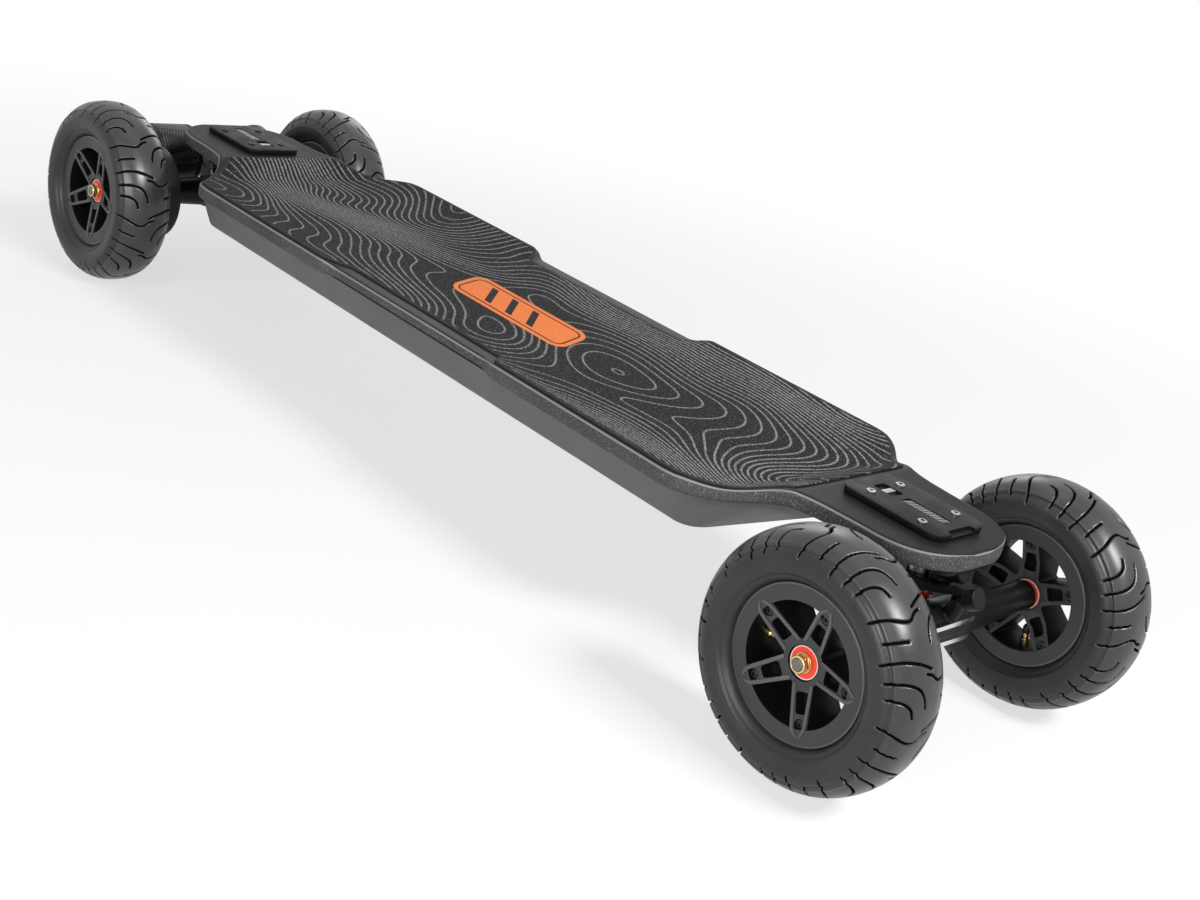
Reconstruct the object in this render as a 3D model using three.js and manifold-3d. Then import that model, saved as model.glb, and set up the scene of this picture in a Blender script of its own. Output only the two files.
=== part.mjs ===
// An electric mountainboard, in millimetres: +X to the nose, +Y to the rider's left, +Z up.
// The origin lies on the ground, in the middle of the four wheels.

import * as THREE from "three";
import { mergeVertices } from "three/addons/utils/BufferGeometryUtils.js";
import Module from "manifold-3d";

const wasm = await Module();
wasm.setup();

// Fits
const gap = 0.3; // between pieces that touch
const overrun = 3; // how far a cut passes the face it opens

// Running gear layout
const wheelbase = 890;
const track = 244;

// Tyre and inner tube
const tyreRadius = 82.5;
const tyreWidth = 53;
const treadFlatWidth = 14;
const treadThickness = 7;
const beadWidth = 6.5;
const sidewallShares = [[0.06, 0.78], [0.45, 1], [0.8, 0.79]]; // of height over the lip, of half width
const casingShares = [0.31, 0.72]; // the widest place inside the tyre, in the same shares
const valveRadius = 3.2;
const valveTipRadius = 25; // distance of the valve's tip from the axle
const valveSides = 8;
const wheelSides = 24;

// Rim
const lipRadius = 50;
const seatDrop = 3.5; // from the lip to the bead's seat
const barrelThickness = 7.5;
const rimWidth = 37.4;
const lipThickness = 2.2;
const flangeSlope = 1;
const spiderWidth = 24; // at the hub; the spokes widen to the lip
const spokeCount = 5;
const hubRadius = 15;
const hubSeatMargin = 1; // flat inner side of the hub, past the wheel pulley's sleeve
const spokeTipDrop = 0.4; // from the lip's face to the end of a spoke
const spokeRootWidth = 15.5;
const spokeTipWidth = 12.5;
const pocketDepth = 6; // at the hub
const pocketRootWall = 2.5; // between the hub and a spoke's pocket
const pocketTipWall = 8.5; // between the pocket and the rim's opening
const spokeRib = 2.6; // wall left beside a spoke's pocket
const windowArcSteps = 3;
const frontLeftSpoke = 243; // degrees round the wheel, of the spoke before the valve
const frontRightSpoke = 321; // degrees
const rearLeftSpoke = 60; // degrees
const rearRightSpoke = 186; // degrees

// Wheel bearings and axle
const bearingRadius = 11;
const bearingWidth = 7;
const bearingSpan = 22; // over both bearings
const spacerRadius = 7;
const bearingSides = 12;
const axleRadius = 4;
const axleProud = 0.5; // past the nut
const axleSides = 12;
const nutFlats = 13;
const nutThickness = 6.2;

// Deck board, its places along X measured inwards from the axle
const deckOverhang = 19; // of the tip, past the axle
const lobeHalfWidth = 119;
const waistHalfWidth = 111.5;
const waistHalfLength = 92;
const waistBlend = 22;
const shoulderLength = 127;
const shoulderInset = 33; // from the axle to the shoulder's outer end
const shoulderShares = [ // of the shoulder's length, of the width that it loses
  [0, 0], [0.094, 0.024], [0.181, 0.13], [0.252, 0.268], [0.315, 0.423], [0.37, 0.561],
  [0.433, 0.699], [0.512, 0.813], [0.591, 0.898], [0.7, 0.955], [0.811, 0.979], [1, 1],
];
const neckHalfWidth = 57.5;
const tipRoundness = 2.3; // exponent of the tip's rounded outline
const tipShares = [0, 0.35, 0.6, 0.78, 0.9, 0.965, 1];
const tipFlatShare = 0.995; // the tip ends flat here, of the outline's whole length
const deckThickness = 6.5; // at the middle
const lobeRise = 6; // of the lobes' edge over the middle
const waistRise = 2.4; // the same, where the board is narrower
const concaveShares = [[0, 0], [0.35, 0], [0.6, 0.16], [0.85, 0.62], [1, 1]]; // of half width, of that rise
const neckThickness = 12;
const neckLift = 13; // of the neck's top over the deck's middle
const riseLength = 40;
const riseInset = 5; // from the neck's plate to the end of the rise
const deckEdgeRadius = 3;
const waistSteps = 3;
const lobeSteps = 2;

// Grip sheet
const gripThickness = 1.2;
const gripInset = 11; // from the neck's plate
const gripWaistMargin = 15;
const gripNeckMargin = 8;

// Lower shell, with its battery, controller and button
const shellClearance = 1; // to the trucks' baseplates
const shellInset = 8; // from the lobes' edge
const shellFlare = 7; // by which the floor is narrower on each side
const shellNoseRamp = 61; // length of the sloping end
const shellTailRamp = 69;
const shellFloorCorner = 14;
const shellDepth = 25.2;
const shellWall = 3;
const shellSetback = 5; // inside the deck's edge at the shoulders
const batterySetback = 48; // from the floor's tail end
const batteryMargin = 7; // to the wall on each side
const batteryHeadroom = 3.2;
const wiringLength = 55; // free between the battery and the controller
const controllerSetback = 41; // from the floor's nose end
const controllerLength = 120;
const controllerMargin = 26;
const controllerHeadroom = 5.2;
const bayCorner = 6;
const buttonRadius = 5;
const buttonFlange = 2; // how far its flange stands out
const buttonProud = 2;
const buttonTravel = 1.2;
const buttonSetback = 68; // from the floor's tail end
const buttonRise = 13; // over the floor
const buttonSides = 14;
const socketRadius = 6.5; // of the charging socket's hole
const socketSpacing = 30; // from the button

// Raised plate on each neck
const plateInset = 82; // from the axle to the plate's inner end
const plateLength = 82;
const plateWidth = 56;
const plateThickness = 4.7;
const plateCorner = 10;
const plateWindowLength = 17;
const plateWindowWidth = 12;
const plateWindowDepth = 2.5;
const plateWindowOffset = 20; // from the plate's inner end to the window's middle
const plateStripLength = 33;
const plateStripWidth = 11;
const plateStripDepth = 1;
const plateStripOffset = 54;
const cornerSteps = 5;

// Truck, in its own frame: u outwards from the axle, w up from it
const baseplateInnerMargin = 19; // past the upper ring's middle
const baseplateOuterMargin = 12.4; // past the upper pivot
const baseplateWidth = 60;
const baseplateThickness = 4.5;
const kingpinRadius = 5;
const kingpinHeadRadius = 8;
const kingpinHeadHeight = 5;
const kingpinNutHeight = 7;
const washerRadius = 10.5;
const washerThickness = 1.5;
const kingpinSides = 12;
const ringHole = 6.4;
const ringRadius = 15;
const ringThickness = 8;
const bushingRadius = 10.5;
const bushingWaist = 1; // how far the middle of a bushing swells
const bushingHeight = 12;
const bushingRoom = 1.5; // around a bushing in its pocket
const bushingSides = 12;
const upperRingOffset = -53; // u of the swing arm's ring on the upper kingpin
const upperRingDrop = 30.2; // from the baseplate's top
const upperPivotOffset = 1.6;
const upperPivotRise = 11.4; // over the arm's beam
const upperPivotDrop = 10.1; // from the baseplate's top
const upperKingpinTilt = 20; // degrees from upright, leaning inwards at the top
const lowerRing = [-20.1, 3.2]; // u, w of the hanger's ring on the lower kingpin
const lowerPivot = [18, 26.5];
const lowerKingpinTilt = 5;
const pivotPinRadius = 4.5;
const pivotPinLength = 12;
const pivotCupRadius = 7.5;
const pivotCupWall = 3;
const seatBossRadius = 12;
const armWidth = 26;
const armRise = 8; // thickness of the arm's beam
const hornRadius = 6;
const armKneeInset = 16; // from the lower pivot to where the beam turns up over the hanger's horn
const armKneeDrop = 1;
const hangerEndRadius = 10.5;
const hangerMiddleRadius = 13.5;
const hangerTaperStart = 26;
const hangerEndLength = 18.7; // straight at each end
const hangerNoseRadius = 6.5;
const hangerNoseLength = 3;
const hangerBlockWidth = 44;
const hangerSides = 12;
const ribReach = 15; // u of the hanger's front ribs
const ribThickness = 4;
const ribSpacing = 13;

// Drive, on the rear hanger: u and w from the axle to the motor's shaft
const motorShaft = [51, 20.5];
const motorRadius = 30;
const motorInner = 10; // distance of the motor's inner end from the middle of the board
const motorEndBevel = 3;
const motorSides = 20;
const mountThickness = 7;
const mountMotorMargin = 1.5;
const mountClampRadius = 19;
const mountClampWidth = 12;
const shaftRadius = 4;
const shaftClearance = 2;
const beltWidth = 15;
const beltThickness = 2.5;
const beltInnerSpace = 7.7; // from the mount to the belt
const beltOuterSpace = 0.7; // from the belt to its cover's face
const motorPulleyRadius = 12;
const wheelPulleyRadius = 36;
const wheelPulleySleeve = 24;
const wheelPulleyBore = 14;
const pulleyFlange = 1.5; // thickness of a pulley's end flange
const pulleySides = 16;
const coverWall = 2.2;
const coverFace = 1.5;
const coverClearance = 2.6; // around the belt
const coverRimSpace = 9.1; // from the cover to the rim's inner side
const coverPortClearance = 2;
const outlineSteps = 8;

const half = 0.5;
const fullTurn = 2 * Math.PI;

// Heights, from the axle up through the truck: seats on a kingpin are measured from its ring's middle
const axleHeight = tyreRadius;
const ringFace = ringThickness * half + gap;
const bushingEnd = ringFace + bushingHeight;
const seatFace = bushingEnd + gap;
const lowerPinRise = Math.cos(THREE.MathUtils.degToRad(lowerKingpinTilt));
const armTop = lowerRing[1] + (seatFace + armRise) * lowerPinRise;
const baseplateTop = armTop + upperPivotRise + upperPivotDrop;
const baseplateBottom = baseplateTop - baseplateThickness;
const neckUnderside = axleHeight + baseplateTop + gap;
const neckHeight = neckUnderside + neckThickness;
const plateTop = neckHeight + gap + plateThickness;
const deckMiddleHeight = neckHeight - neckLift;
const deckUnderside = deckMiddleHeight - deckThickness;
const shellFloorHeight = deckUnderside - gap - shellDepth;

// Places along the board
const axlePlace = wheelbase * half;
const deckHalfLength = axlePlace + deckOverhang;
const shoulderEnd = axlePlace - shoulderInset;
const shoulderStart = shoulderEnd - shoulderLength;
const plateStart = axlePlace - plateInset;
const riseEnd = plateStart - riseInset;
const riseStart = riseEnd - riseLength;
const gripHalfLength = plateStart - gripInset;
const baseplateInner = upperRingOffset - baseplateInnerMargin;
const baseplateOuter = upperPivotOffset + baseplateOuterMargin;
const shellHalfLength = axlePlace + baseplateInner - shellClearance;
const floorNoseEnd = shellHalfLength - shellNoseRamp;
const floorTailEnd = shellTailRamp - shellHalfLength;

// A closed geometry as a solid that can be cut and joined.
function solidOf(geometry) {
  const bare = geometry.clone();
  bare.deleteAttribute("normal");
  bare.deleteAttribute("uv");
  const merged = mergeVertices(bare);
  const corners = merged.index.array;
  const kept = [];
  for (let i = 0; i < corners.length; i += 3) {
    const [a, b, c] = [corners[i], corners[i + 1], corners[i + 2]];
    if (a !== b && b !== c && c !== a) kept.push(a, b, c);
  }
  const vertProperties = Float32Array.from(merged.attributes.position.array);
  const triVerts = Uint32Array.from(kept);
  return new wasm.Manifold(new wasm.Mesh({ numProp: 3, vertProperties, triVerts }));
}

function geometryOf(solid) {
  const mesh = solid.getMesh();
  return new THREE.BufferGeometry()
    .setAttribute("position", new THREE.BufferAttribute(mesh.vertProperties, 3))
    .setIndex(new THREE.BufferAttribute(mesh.triVerts, 1));
}

const join = (first, ...rest) =>
  geometryOf(rest.reduce((whole, piece) => whole.add(solidOf(piece)), solidOf(first)));
const cut = (first, ...tools) =>
  geometryOf(tools.reduce((left, tool) => left.subtract(solidOf(tool)), solidOf(first)));

// A ring around Y from a closed profile of [radius, y], its flats standing on the true radius.
function ring(profile, sides) {
  const stretch = 1 / Math.cos(Math.PI / sides);
  const points = [...profile, profile[0]].map(([r, y]) => new THREE.Vector2(r * stretch, y));
  return new THREE.LatheGeometry(points, sides, Math.PI / sides);
}

// A solid turned around Y from a profile of [radius, y] that runs up from the axis and back to it.
function turned(profile, sides) {
  const points = profile.map(([r, y]) => new THREE.Vector2(r, y));
  return new THREE.LatheGeometry(points, sides, Math.PI / sides);
}

// The same profile on both sides of y = 0: given for y > 0 from the inside out.
const mirrored = (profile) => [...profile.map(([r, y]) => [r, -y]), ...[...profile].reverse()];

const turnOnto = (direction) =>
  new THREE.Quaternion().setFromUnitVectors(new THREE.Vector3(0, 1, 0), direction);

// A round bar between two points.
function bar(radius, from, to, sides) {
  const along = to.clone().sub(from);
  return new THREE.CylinderGeometry(radius, radius, along.length(), sides)
    .applyQuaternion(turnOnto(along.clone().normalize()))
    .translate(...from.clone().add(to).multiplyScalar(half).toArray());
}

// A round bar along Y at u, w.
const crossBar = (radius, [u, w], from, to, sides) =>
  bar(radius, new THREE.Vector3(u, from, w), new THREE.Vector3(u, to, w), sides);

const plate = (shape, depth) => new THREE.ExtrudeGeometry(shape, { depth, bevelEnabled: false });

// A plate with its outline in u, w and its thickness along Y.
const uprightPlate = (shape, from, to) => plate(shape, to - from).rotateX(Math.PI / 2).translate(0, to, 0);

// A plate with its outline in x, y and its thickness along Z.
const levelPlate = (shape, from, to) => plate(shape, to - from).translate(0, 0, from);

const outline = (points) => new THREE.Shape(points.map(([a, b]) => new THREE.Vector2(a, b)));

// Points of an arc around a centre.
function arc([a, b], radius, from, to, steps) {
  return Array.from({ length: steps + 1 }, (_, i) => {
    const angle = from + ((to - from) * i) / steps;
    return [a + radius * Math.cos(angle), b + radius * Math.sin(angle)];
  });
}

// A polygon around a circle at the origin, its flats on the true radius like those of a ring.
function flatsAround(radius, sides) {
  const phase = Math.PI / sides;
  return outline(arc([0, 0], radius / Math.cos(phase), phase, fullTurn + phase, sides).slice(1));
}

// A rectangle with rounded corners around a middle point.
function roundedBox([a, b], length, width, corner) {
  const [x, y] = [length * half - corner, width * half - corner];
  const quarter = Math.PI / 2;
  const centres = [[a + x, b + y], [a - x, b + y], [a - x, b - y], [a + x, b - y]];
  const rounded = (centre, i) => arc(centre, corner, i * quarter, (i + 1) * quarter, cornerSteps);
  return outline(centres.flatMap(rounded));
}

// The tight outline around a circle at the axle and a circle at the motor's shaft.
function loopAround(axleEndRadius, shaftEndRadius) {
  const [u, w] = motorShaft;
  const lean = Math.atan2(w, u);
  const spread = Math.acos((axleEndRadius - shaftEndRadius) / Math.hypot(u, w));
  return outline([
    ...arc([0, 0], axleEndRadius, lean + spread, lean - spread + fullTurn, 2 * outlineSteps),
    ...arc(motorShaft, shaftEndRadius, lean - spread, lean + spread, outlineSteps),
  ]);
}

// A solid through closed rings with equally many points; the first and last ring are filled in.
function loft(rings, flatten) {
  const count = rings[0].length;
  const points = rings.flat();
  const faces = [];
  for (let i = 0; i + 1 < rings.length; i++) {
    for (let j = 0; j < count; j++) {
      const next = (j + 1) % count;
      const [a, b, c, d] = [i * count + j, i * count + next, (i + 1) * count + next, (i + 1) * count + j];
      const acrossIsShorter = points[b].distanceTo(points[d]) < points[a].distanceTo(points[c]);
      faces.push(...(acrossIsShorter ? [a, b, d, b, c, d] : [a, b, c, a, c, d]));
    }
  }
  const cap = (edge, start, reversed) => {
    for (const [a, b, c] of THREE.ShapeUtils.triangulateShape(edge.map(flatten), [])) {
      faces.push(...(reversed ? [start + c, start + b, start + a] : [start + a, start + b, start + c]));
    }
  };
  cap(rings[0], 0, true);
  cap(rings.at(-1), (rings.length - 1) * count, false);
  const positions = points.flatMap((p) => p.toArray());
  return new THREE.BufferGeometry()
    .setAttribute("position", new THREE.Float32BufferAttribute(positions, 3))
    .setIndex(faces);
}

const finish = (color, roughness, metalness) =>
  new THREE.MeshStandardMaterial({ color, roughness, metalness });
const composite = () => finish(0x2b2c2e, 0.45, 0.1);
const gritSheet = () => finish(0x1c1d1f, 0.95, 0);
const blackMetal = () => finish(0x17181a, 0.45, 0.6);
const blackPlastic = () => finish(0x1b1c1e, 0.55, 0);
const blueWrap = () => finish(0x1f3a6e, 0.4, 0);
const tyreRubber = () => finish(0x202123, 0.8, 0);
const redUrethane = () => finish(0xb5281c, 0.5, 0);
const plainSteel = () => finish(0x9a9da1, 0.35, 0.9);
const goldSteel = () => finish(0xc9a45a, 0.35, 0.9);

function place(parent, name, geometry, material) {
  const mesh = new THREE.Mesh(geometry, material);
  mesh.name = name;
  parent.add(mesh);
}

// Wheels: turned around Y, with +Y pointing away from the board

const sectionHeight = tyreRadius - lipRadius;
const tyreHalfWidth = tyreWidth * half;
const seatRadius = lipRadius - seatDrop;
const rimOpeningRadius = seatRadius - barrelThickness;
const seatHalfWidth = rimWidth * half - lipThickness - flangeSlope;
const casing = [lipRadius + sectionHeight * casingShares[0], tyreHalfWidth * casingShares[1]];
const crown = [tyreRadius - treadThickness, treadFlatWidth * half + gap];

function tyre() {
  const bead = seatRadius + gap;
  const outside = sidewallShares
    .map(([height, width]) => [lipRadius + sectionHeight * height, tyreHalfWidth * width]);
  return ring(mirrored([
    crown,
    casing,
    [bead, seatHalfWidth - beadWidth],
    [bead, seatHalfWidth - gap],
    [lipRadius + gap, seatHalfWidth + flangeSlope - gap],
    ...outside,
    [tyreRadius, treadFlatWidth * half],
  ]), wheelSides);
}

function innerTube(valveAngle) {
  const clear = 2 * gap;
  const body = ring(mirrored([
    [seatRadius + gap, seatHalfWidth - beadWidth - clear],
    [casing[0] - clear, casing[1] - clear - gap],
    [crown[0] - clear, crown[1] - clear],
  ]), wheelSides);
  const along = new THREE.Vector3(Math.cos(valveAngle), 0, Math.sin(valveAngle));
  const from = along.clone().multiplyScalar((seatRadius + casing[0]) * half);
  return join(body, bar(valveRadius, from, along.multiplyScalar(valveTipRadius), valveSides));
}

// One opening between two spokes.
function wheelWindow(middle) {
  const outer = rimOpeningRadius;
  const inner = hubRadius;
  const reach = (radius, width) => Math.PI / spokeCount - Math.asin((width * half) / radius);
  const outerReach = reach(outer, spokeTipWidth);
  const innerReach = reach(inner, spokeRootWidth);
  return [
    ...arc([0, 0], outer, middle - outerReach, middle + outerReach, windowArcSteps),
    ...arc([0, 0], inner, middle + innerReach, middle - innerReach, 1),
  ];
}

// The hollow between the two ribs of a spoke.
function spokePocket(direction) {
  const start = hubRadius + pocketRootWall;
  const end = rimOpeningRadius - pocketTipWall;
  const root = spokeRootWidth * half - spokeRib;
  const tip = spokeTipWidth * half - spokeRib;
  const [cos, sin] = [Math.cos(direction), Math.sin(direction)];
  return outline([[start, -root], [end, -tip], [end, tip], [start, root]]
    .map(([a, b]) => [a * cos - b * sin, a * sin + b * cos]));
}

// The disc inside the barrel, dished towards the lip on both sides, with its windows and pockets.
function spider(spokeAngle) {
  const hubHalf = spiderWidth * half;
  const tipHalf = rimWidth * half - spokeTipDrop;
  const edge = (rimOpeningRadius + seatRadius) * half;
  const directions = Array.from({ length: spokeCount }, (_, i) => spokeAngle + (i * fullTurn) / spokeCount);
  const windows = directions.map((direction) => outline(wheelWindow(direction + Math.PI / spokeCount)));
  const pockets = directions.map(spokePocket);
  const floor = hubHalf - pocketDepth;
  const reach = rimWidth * half + overrun;
  return cut(
    turned([
      [0, -hubHalf],
      [wheelPulleySleeve + hubSeatMargin, -hubHalf],
      [rimOpeningRadius, -tipHalf],
      [edge, -tipHalf],
      [edge, tipHalf],
      [rimOpeningRadius, tipHalf],
      [hubRadius, hubHalf],
      [0, hubHalf],
    ], wheelSides),
    uprightPlate(flatsAround(bearingRadius + gap, bearingSides), -reach, reach),
    uprightPlate(windows, -reach, reach),
    uprightPlate(pockets, floor, reach),
    uprightPlate(pockets, -reach, -floor),
  );
}

function rim(spokeAngle, valveAngle) {
  const lipHalf = rimWidth * half;
  const barrel = ring(mirrored([
    [seatRadius, seatHalfWidth],
    [lipRadius, seatHalfWidth + flangeSlope],
    [lipRadius, lipHalf],
    [rimOpeningRadius, lipHalf],
  ].reverse()), wheelSides);
  const along = new THREE.Vector3(Math.cos(valveAngle), 0, Math.sin(valveAngle));
  const valveHole = bar(
    valveRadius + gap,
    along.clone().multiplyScalar(rimOpeningRadius - overrun),
    along.clone().multiplyScalar(lipRadius),
    valveSides,
  );
  return cut(join(barrel, spider(spokeAngle)), valveHole);
}

function wheelBearings() {
  const end = bearingSpan * half;
  const bore = axleRadius + gap;
  return ring(mirrored([
    [spacerRadius, end - bearingWidth],
    [bearingRadius, end - bearingWidth],
    [bearingRadius, end],
    [bore, end],
  ].reverse()), bearingSides);
}

function axleNut() {
  const inner = bearingSpan * half + gap;
  const outer = inner + nutThickness;
  const acrossCorners = (nutFlats * half) / Math.cos(Math.PI / 6);
  const body = new THREE.CylinderGeometry(acrossCorners, acrossCorners, nutThickness, 6)
    .translate(0, (inner + outer) * half, 0);
  return cut(body, crossBar(axleRadius + gap, [0, 0], inner - overrun, outer + overrun, axleSides));
}

function addWheel(board, end, side, spokeDegrees) {
  const name = `${end > 0 ? "front" : "rear"}_${side > 0 ? "left" : "right"}`;
  const wheel = new THREE.Group();
  const spokeAngle = THREE.MathUtils.degToRad(spokeDegrees);
  const valveAngle = spokeAngle + Math.PI / spokeCount;
  wheel.position.set(end * axlePlace, side * track * half, axleHeight);
  wheel.rotation.z = side > 0 ? 0 : Math.PI;
  place(wheel, `${name}_tyre`, tyre(), tyreRubber());
  place(wheel, `${name}_inner_tube`, innerTube(valveAngle), tyreRubber());
  place(wheel, `${name}_rim`, rim(spokeAngle, valveAngle), blackMetal());
  place(wheel, `${name}_wheel_bearings`, wheelBearings(), redUrethane());
  place(wheel, `${name}_axle_nut`, axleNut(), goldSteel());
  board.add(wheel);
}

// Deck: everything follows a row of stations along X, with straight stretches between them

const tipReach = deckHalfLength - shoulderEnd;
const blendTo = (from, to, x) => THREE.MathUtils.smoothstep(x, from, to);
const mix = THREE.MathUtils.lerp;
const evenly = (from, to, steps) =>
  Array.from({ length: steps }, (_, i) => from + ((to - from) * i) / steps);
const shoulderRow = shoulderShares
  .map(([along, drop]) => [mix(shoulderStart, shoulderEnd, along), drop]);
const halfStations = [...new Set([
  0,
  ...evenly(waistHalfLength, waistHalfLength + waistBlend, waistSteps),
  ...evenly(waistHalfLength + waistBlend, shoulderStart, lobeSteps),
  ...shoulderRow.map(([x]) => x),
  gripHalfLength,
  riseEnd,
  ...tipShares.map((share) => shoulderEnd + tipReach * share),
])].sort((a, b) => a - b);
const stations = [...halfStations.slice(1).reverse().map((x) => -x), ...halfStations];

// The value at a place in a rising table of [place, value], straight between its rows.
function inTable(table, at) {
  const place = Math.min(Math.max(at, table[0][0]), table.at(-1)[0]);
  const next = Math.max(1, table.findIndex(([row]) => row >= place));
  const [[from, start], [to, end]] = [table[next - 1], table[next]];
  return mix(start, end, (place - from) / (to - from));
}

// A curve along the deck that runs straight between stations.
function alongDeck(curve) {
  const table = halfStations.map((x) => [x, curve(x)]);
  return (x) => inTable(table, Math.abs(x));
}

const lobeBlend = (x) => blendTo(waistHalfLength, waistHalfLength + waistBlend, x);
const neckRise = (x) => blendTo(riseStart, riseEnd, x);
const halfWidthAt = alongDeck((x) => {
  if (x > shoulderEnd) {
    const share = (tipFlatShare * (x - shoulderEnd)) / tipReach;
    return neckHalfWidth * (1 - share ** tipRoundness) ** (1 / tipRoundness);
  }
  const platform = mix(waistHalfWidth, lobeHalfWidth, lobeBlend(x));
  return mix(platform, neckHalfWidth, inTable(shoulderRow, x));
});
const middleHeightAt = alongDeck((x) => mix(deckMiddleHeight, neckHeight, neckRise(x)));
const undersideAt = alongDeck((x) => mix(deckUnderside, neckUnderside, neckRise(x)));
const topHalfWidthAt = (x) => halfWidthAt(x) - deckEdgeRadius;

// The pressed top rises with the distance from the middle line, at the necks as at the lobes.
const concaveAt = alongDeck((x) => mix(waistRise, lobeRise, lobeBlend(x)));
const pressedAt = (x, y) => middleHeightAt(x) + concaveAt(x) * inTable(concaveShares, y / lobeHalfWidth);
const topShares = concaveShares.slice(1).map(([share]) => share);

// The height of the deck's top at a share of its half width, straight between the shares above.
function topAt(x, share) {
  const inside = topHalfWidthAt(x);
  return inTable([0, ...topShares].map((at) => [at, pressedAt(x, at * inside)]), share);
}

const acrossTop = [...[...topShares].reverse(), ...topShares.map((share) => -share)];
const flattenEnd = (p) => new THREE.Vector2(p.y, p.z);
const flattenLevel = (p) => new THREE.Vector2(p.x, p.y);

function deckBoard() {
  const rings = stations.map((x) => {
    const width = halfWidthAt(x);
    const inside = topHalfWidthAt(x);
    const shoulder = topAt(x, topShares.at(-1)) - deckEdgeRadius;
    const under = undersideAt(x);
    const top = acrossTop.map((share) => [share * inside, topAt(x, Math.abs(share))]);
    const side = [[width, shoulder], [width, under + deckEdgeRadius], [inside, under]];
    const section = [...top, ...side.map(([y, z]) => [-y, z]), ...[...side].reverse()];
    return section.map(([y, z]) => new THREE.Vector3(x, y, z));
  });
  return loft(rings, flattenEnd);
}

function gripHalfWidthAt(x) {
  const distance = Math.abs(x);
  const lobes = mix(gripWaistMargin, deckEdgeRadius, lobeBlend(distance));
  return halfWidthAt(x) - mix(lobes, gripNeckMargin, blendTo(shoulderStart, riseEnd, distance));
}

function gripSheet() {
  const inner = topShares.slice(0, -1);
  const rings = stations.filter((x) => Math.abs(x) <= gripHalfLength).map((x) => {
    const edge = Math.min(1, gripHalfWidthAt(x) / topHalfWidthAt(x));
    const shares = [edge, ...[...inner].reverse(), ...inner.map((share) => -share), -edge];
    const row = (lift) => shares.map((share) =>
      new THREE.Vector3(x, share * topHalfWidthAt(x), topAt(x, Math.abs(share)) + lift));
    return [...row(gap + gripThickness), ...row(gap).reverse()];
  });
  return loft(rings, flattenEnd);
}

// The shell's outline round the deck's underside, and round its floor, both with equally many points.
const shellTopHalfWidth = lobeHalfWidth - shellInset;
const shellFloorHalfWidth = shellTopHalfWidth - shellFlare;
const shellStations = halfStations.filter((x) => x >= shoulderStart && x < shellHalfLength);
shellStations.push(shellHalfLength);
const roundAll = (quarter) => {
  const turn = (flipX, flipY, list) => list.map((p) => new THREE.Vector3(p.x * flipX, p.y * flipY, p.z));
  const back = [...quarter].reverse();
  return [...turn(1, 1, back), ...turn(-1, 1, quarter), ...turn(-1, -1, back), ...turn(1, -1, quarter)];
};

function shellRim(inset) {
  return roundAll(shellStations.map((station) => {
    const x = Math.min(station, shellHalfLength - inset);
    const width = Math.min(shellTopHalfWidth, halfWidthAt(x) - shellSetback) - inset;
    return new THREE.Vector3(x, width, undersideAt(x) - gap);
  }));
}

function shellFloor(inset, height) {
  const corner = shellFloorCorner - inset;
  const [halfLength, middle] = [(floorNoseEnd - floorTailEnd) * half, (floorNoseEnd + floorTailEnd) * half];
  const centre = [halfLength - shellFloorCorner, shellFloorHalfWidth - shellFloorCorner];
  return roundAll(arc(centre, corner, Math.PI / 2, 0, shellStations.length - 1)
    .map(([x, y]) => new THREE.Vector3(x, y, height)))
    .map((p) => p.setX(p.x + middle));
}

// The button and the charging socket stand square on the shell's sloping left side.
const sideSlope = shellFlare / shellDepth;
const sideOut = new THREE.Vector3(0, 1, -sideSlope).normalize();
const buttonPlace = floorTailEnd + buttonSetback;
const sideSeat = (x, distance) =>
  new THREE.Vector3(x, shellFloorHalfWidth + sideSlope * buttonRise, shellFloorHeight + buttonRise)
    .addScaledVector(sideOut, distance);
const sideBar = (x, radius, from, to) => bar(radius, sideSeat(x, from), sideSeat(x, to), buttonSides);

function lowerShell() {
  const body = loft([
    shellFloor(0, shellFloorHeight),
    shellRim(0),
    shellRim(shellWall),
    shellFloor(shellWall, shellFloorHeight + shellWall),
  ], flattenLevel);
  return cut(
    body,
    sideBar(buttonPlace, buttonRadius + gap, -shellWall - overrun, overrun),
    sideBar(buttonPlace + socketSpacing, socketRadius, -shellWall - overrun, overrun),
  );
}

function powerButton() {
  const inside = -shellWall - 2 * gap;
  return join(
    sideBar(buttonPlace, buttonRadius, inside - buttonFlange * half, buttonProud),
    sideBar(buttonPlace, buttonRadius + buttonFlange, inside - buttonFlange, inside),
  );
}

// A box between two places along the shell's floor, with room at its sides and above it.
function bayBox(from, to, margin, headroom) {
  const width = 2 * (shellFloorHalfWidth - shellWall - margin);
  const plan = roundedBox([(from + to) * half, 0], to - from, width, bayCorner);
  return levelPlate(plan, shellFloorHeight + shellWall + gap, deckUnderside - headroom);
}
const controllerEnd = floorNoseEnd - controllerSetback;
const controllerStart = controllerEnd - controllerLength;
const batteryPack = () => bayBox(
  floorTailEnd + batterySetback,
  controllerStart - wiringLength,
  batteryMargin,
  batteryHeadroom,
);
const motorController = () => bayBox(controllerStart, controllerEnd, controllerMargin, controllerHeadroom);

function deckPlate() {
  const at = (offset) => [plateStart + offset, 0];
  const outside = roundedBox(at(plateLength * half), plateLength, plateWidth, plateCorner);
  const pocket = (offset, length, width, depth) =>
    new THREE.BoxGeometry(length, width, depth + overrun)
      .translate(...at(offset), plateTop + (overrun - depth) * half);
  return cut(
    levelPlate(outside, neckHeight + gap, plateTop),
    pocket(plateWindowOffset, plateWindowLength, plateWindowWidth, plateWindowDepth),
    pocket(plateStripOffset, plateStripLength, plateStripWidth, plateStripDepth),
  );
}

// Trucks: u outwards, w up, both from the axle; the rear truck is the front one turned round

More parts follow.
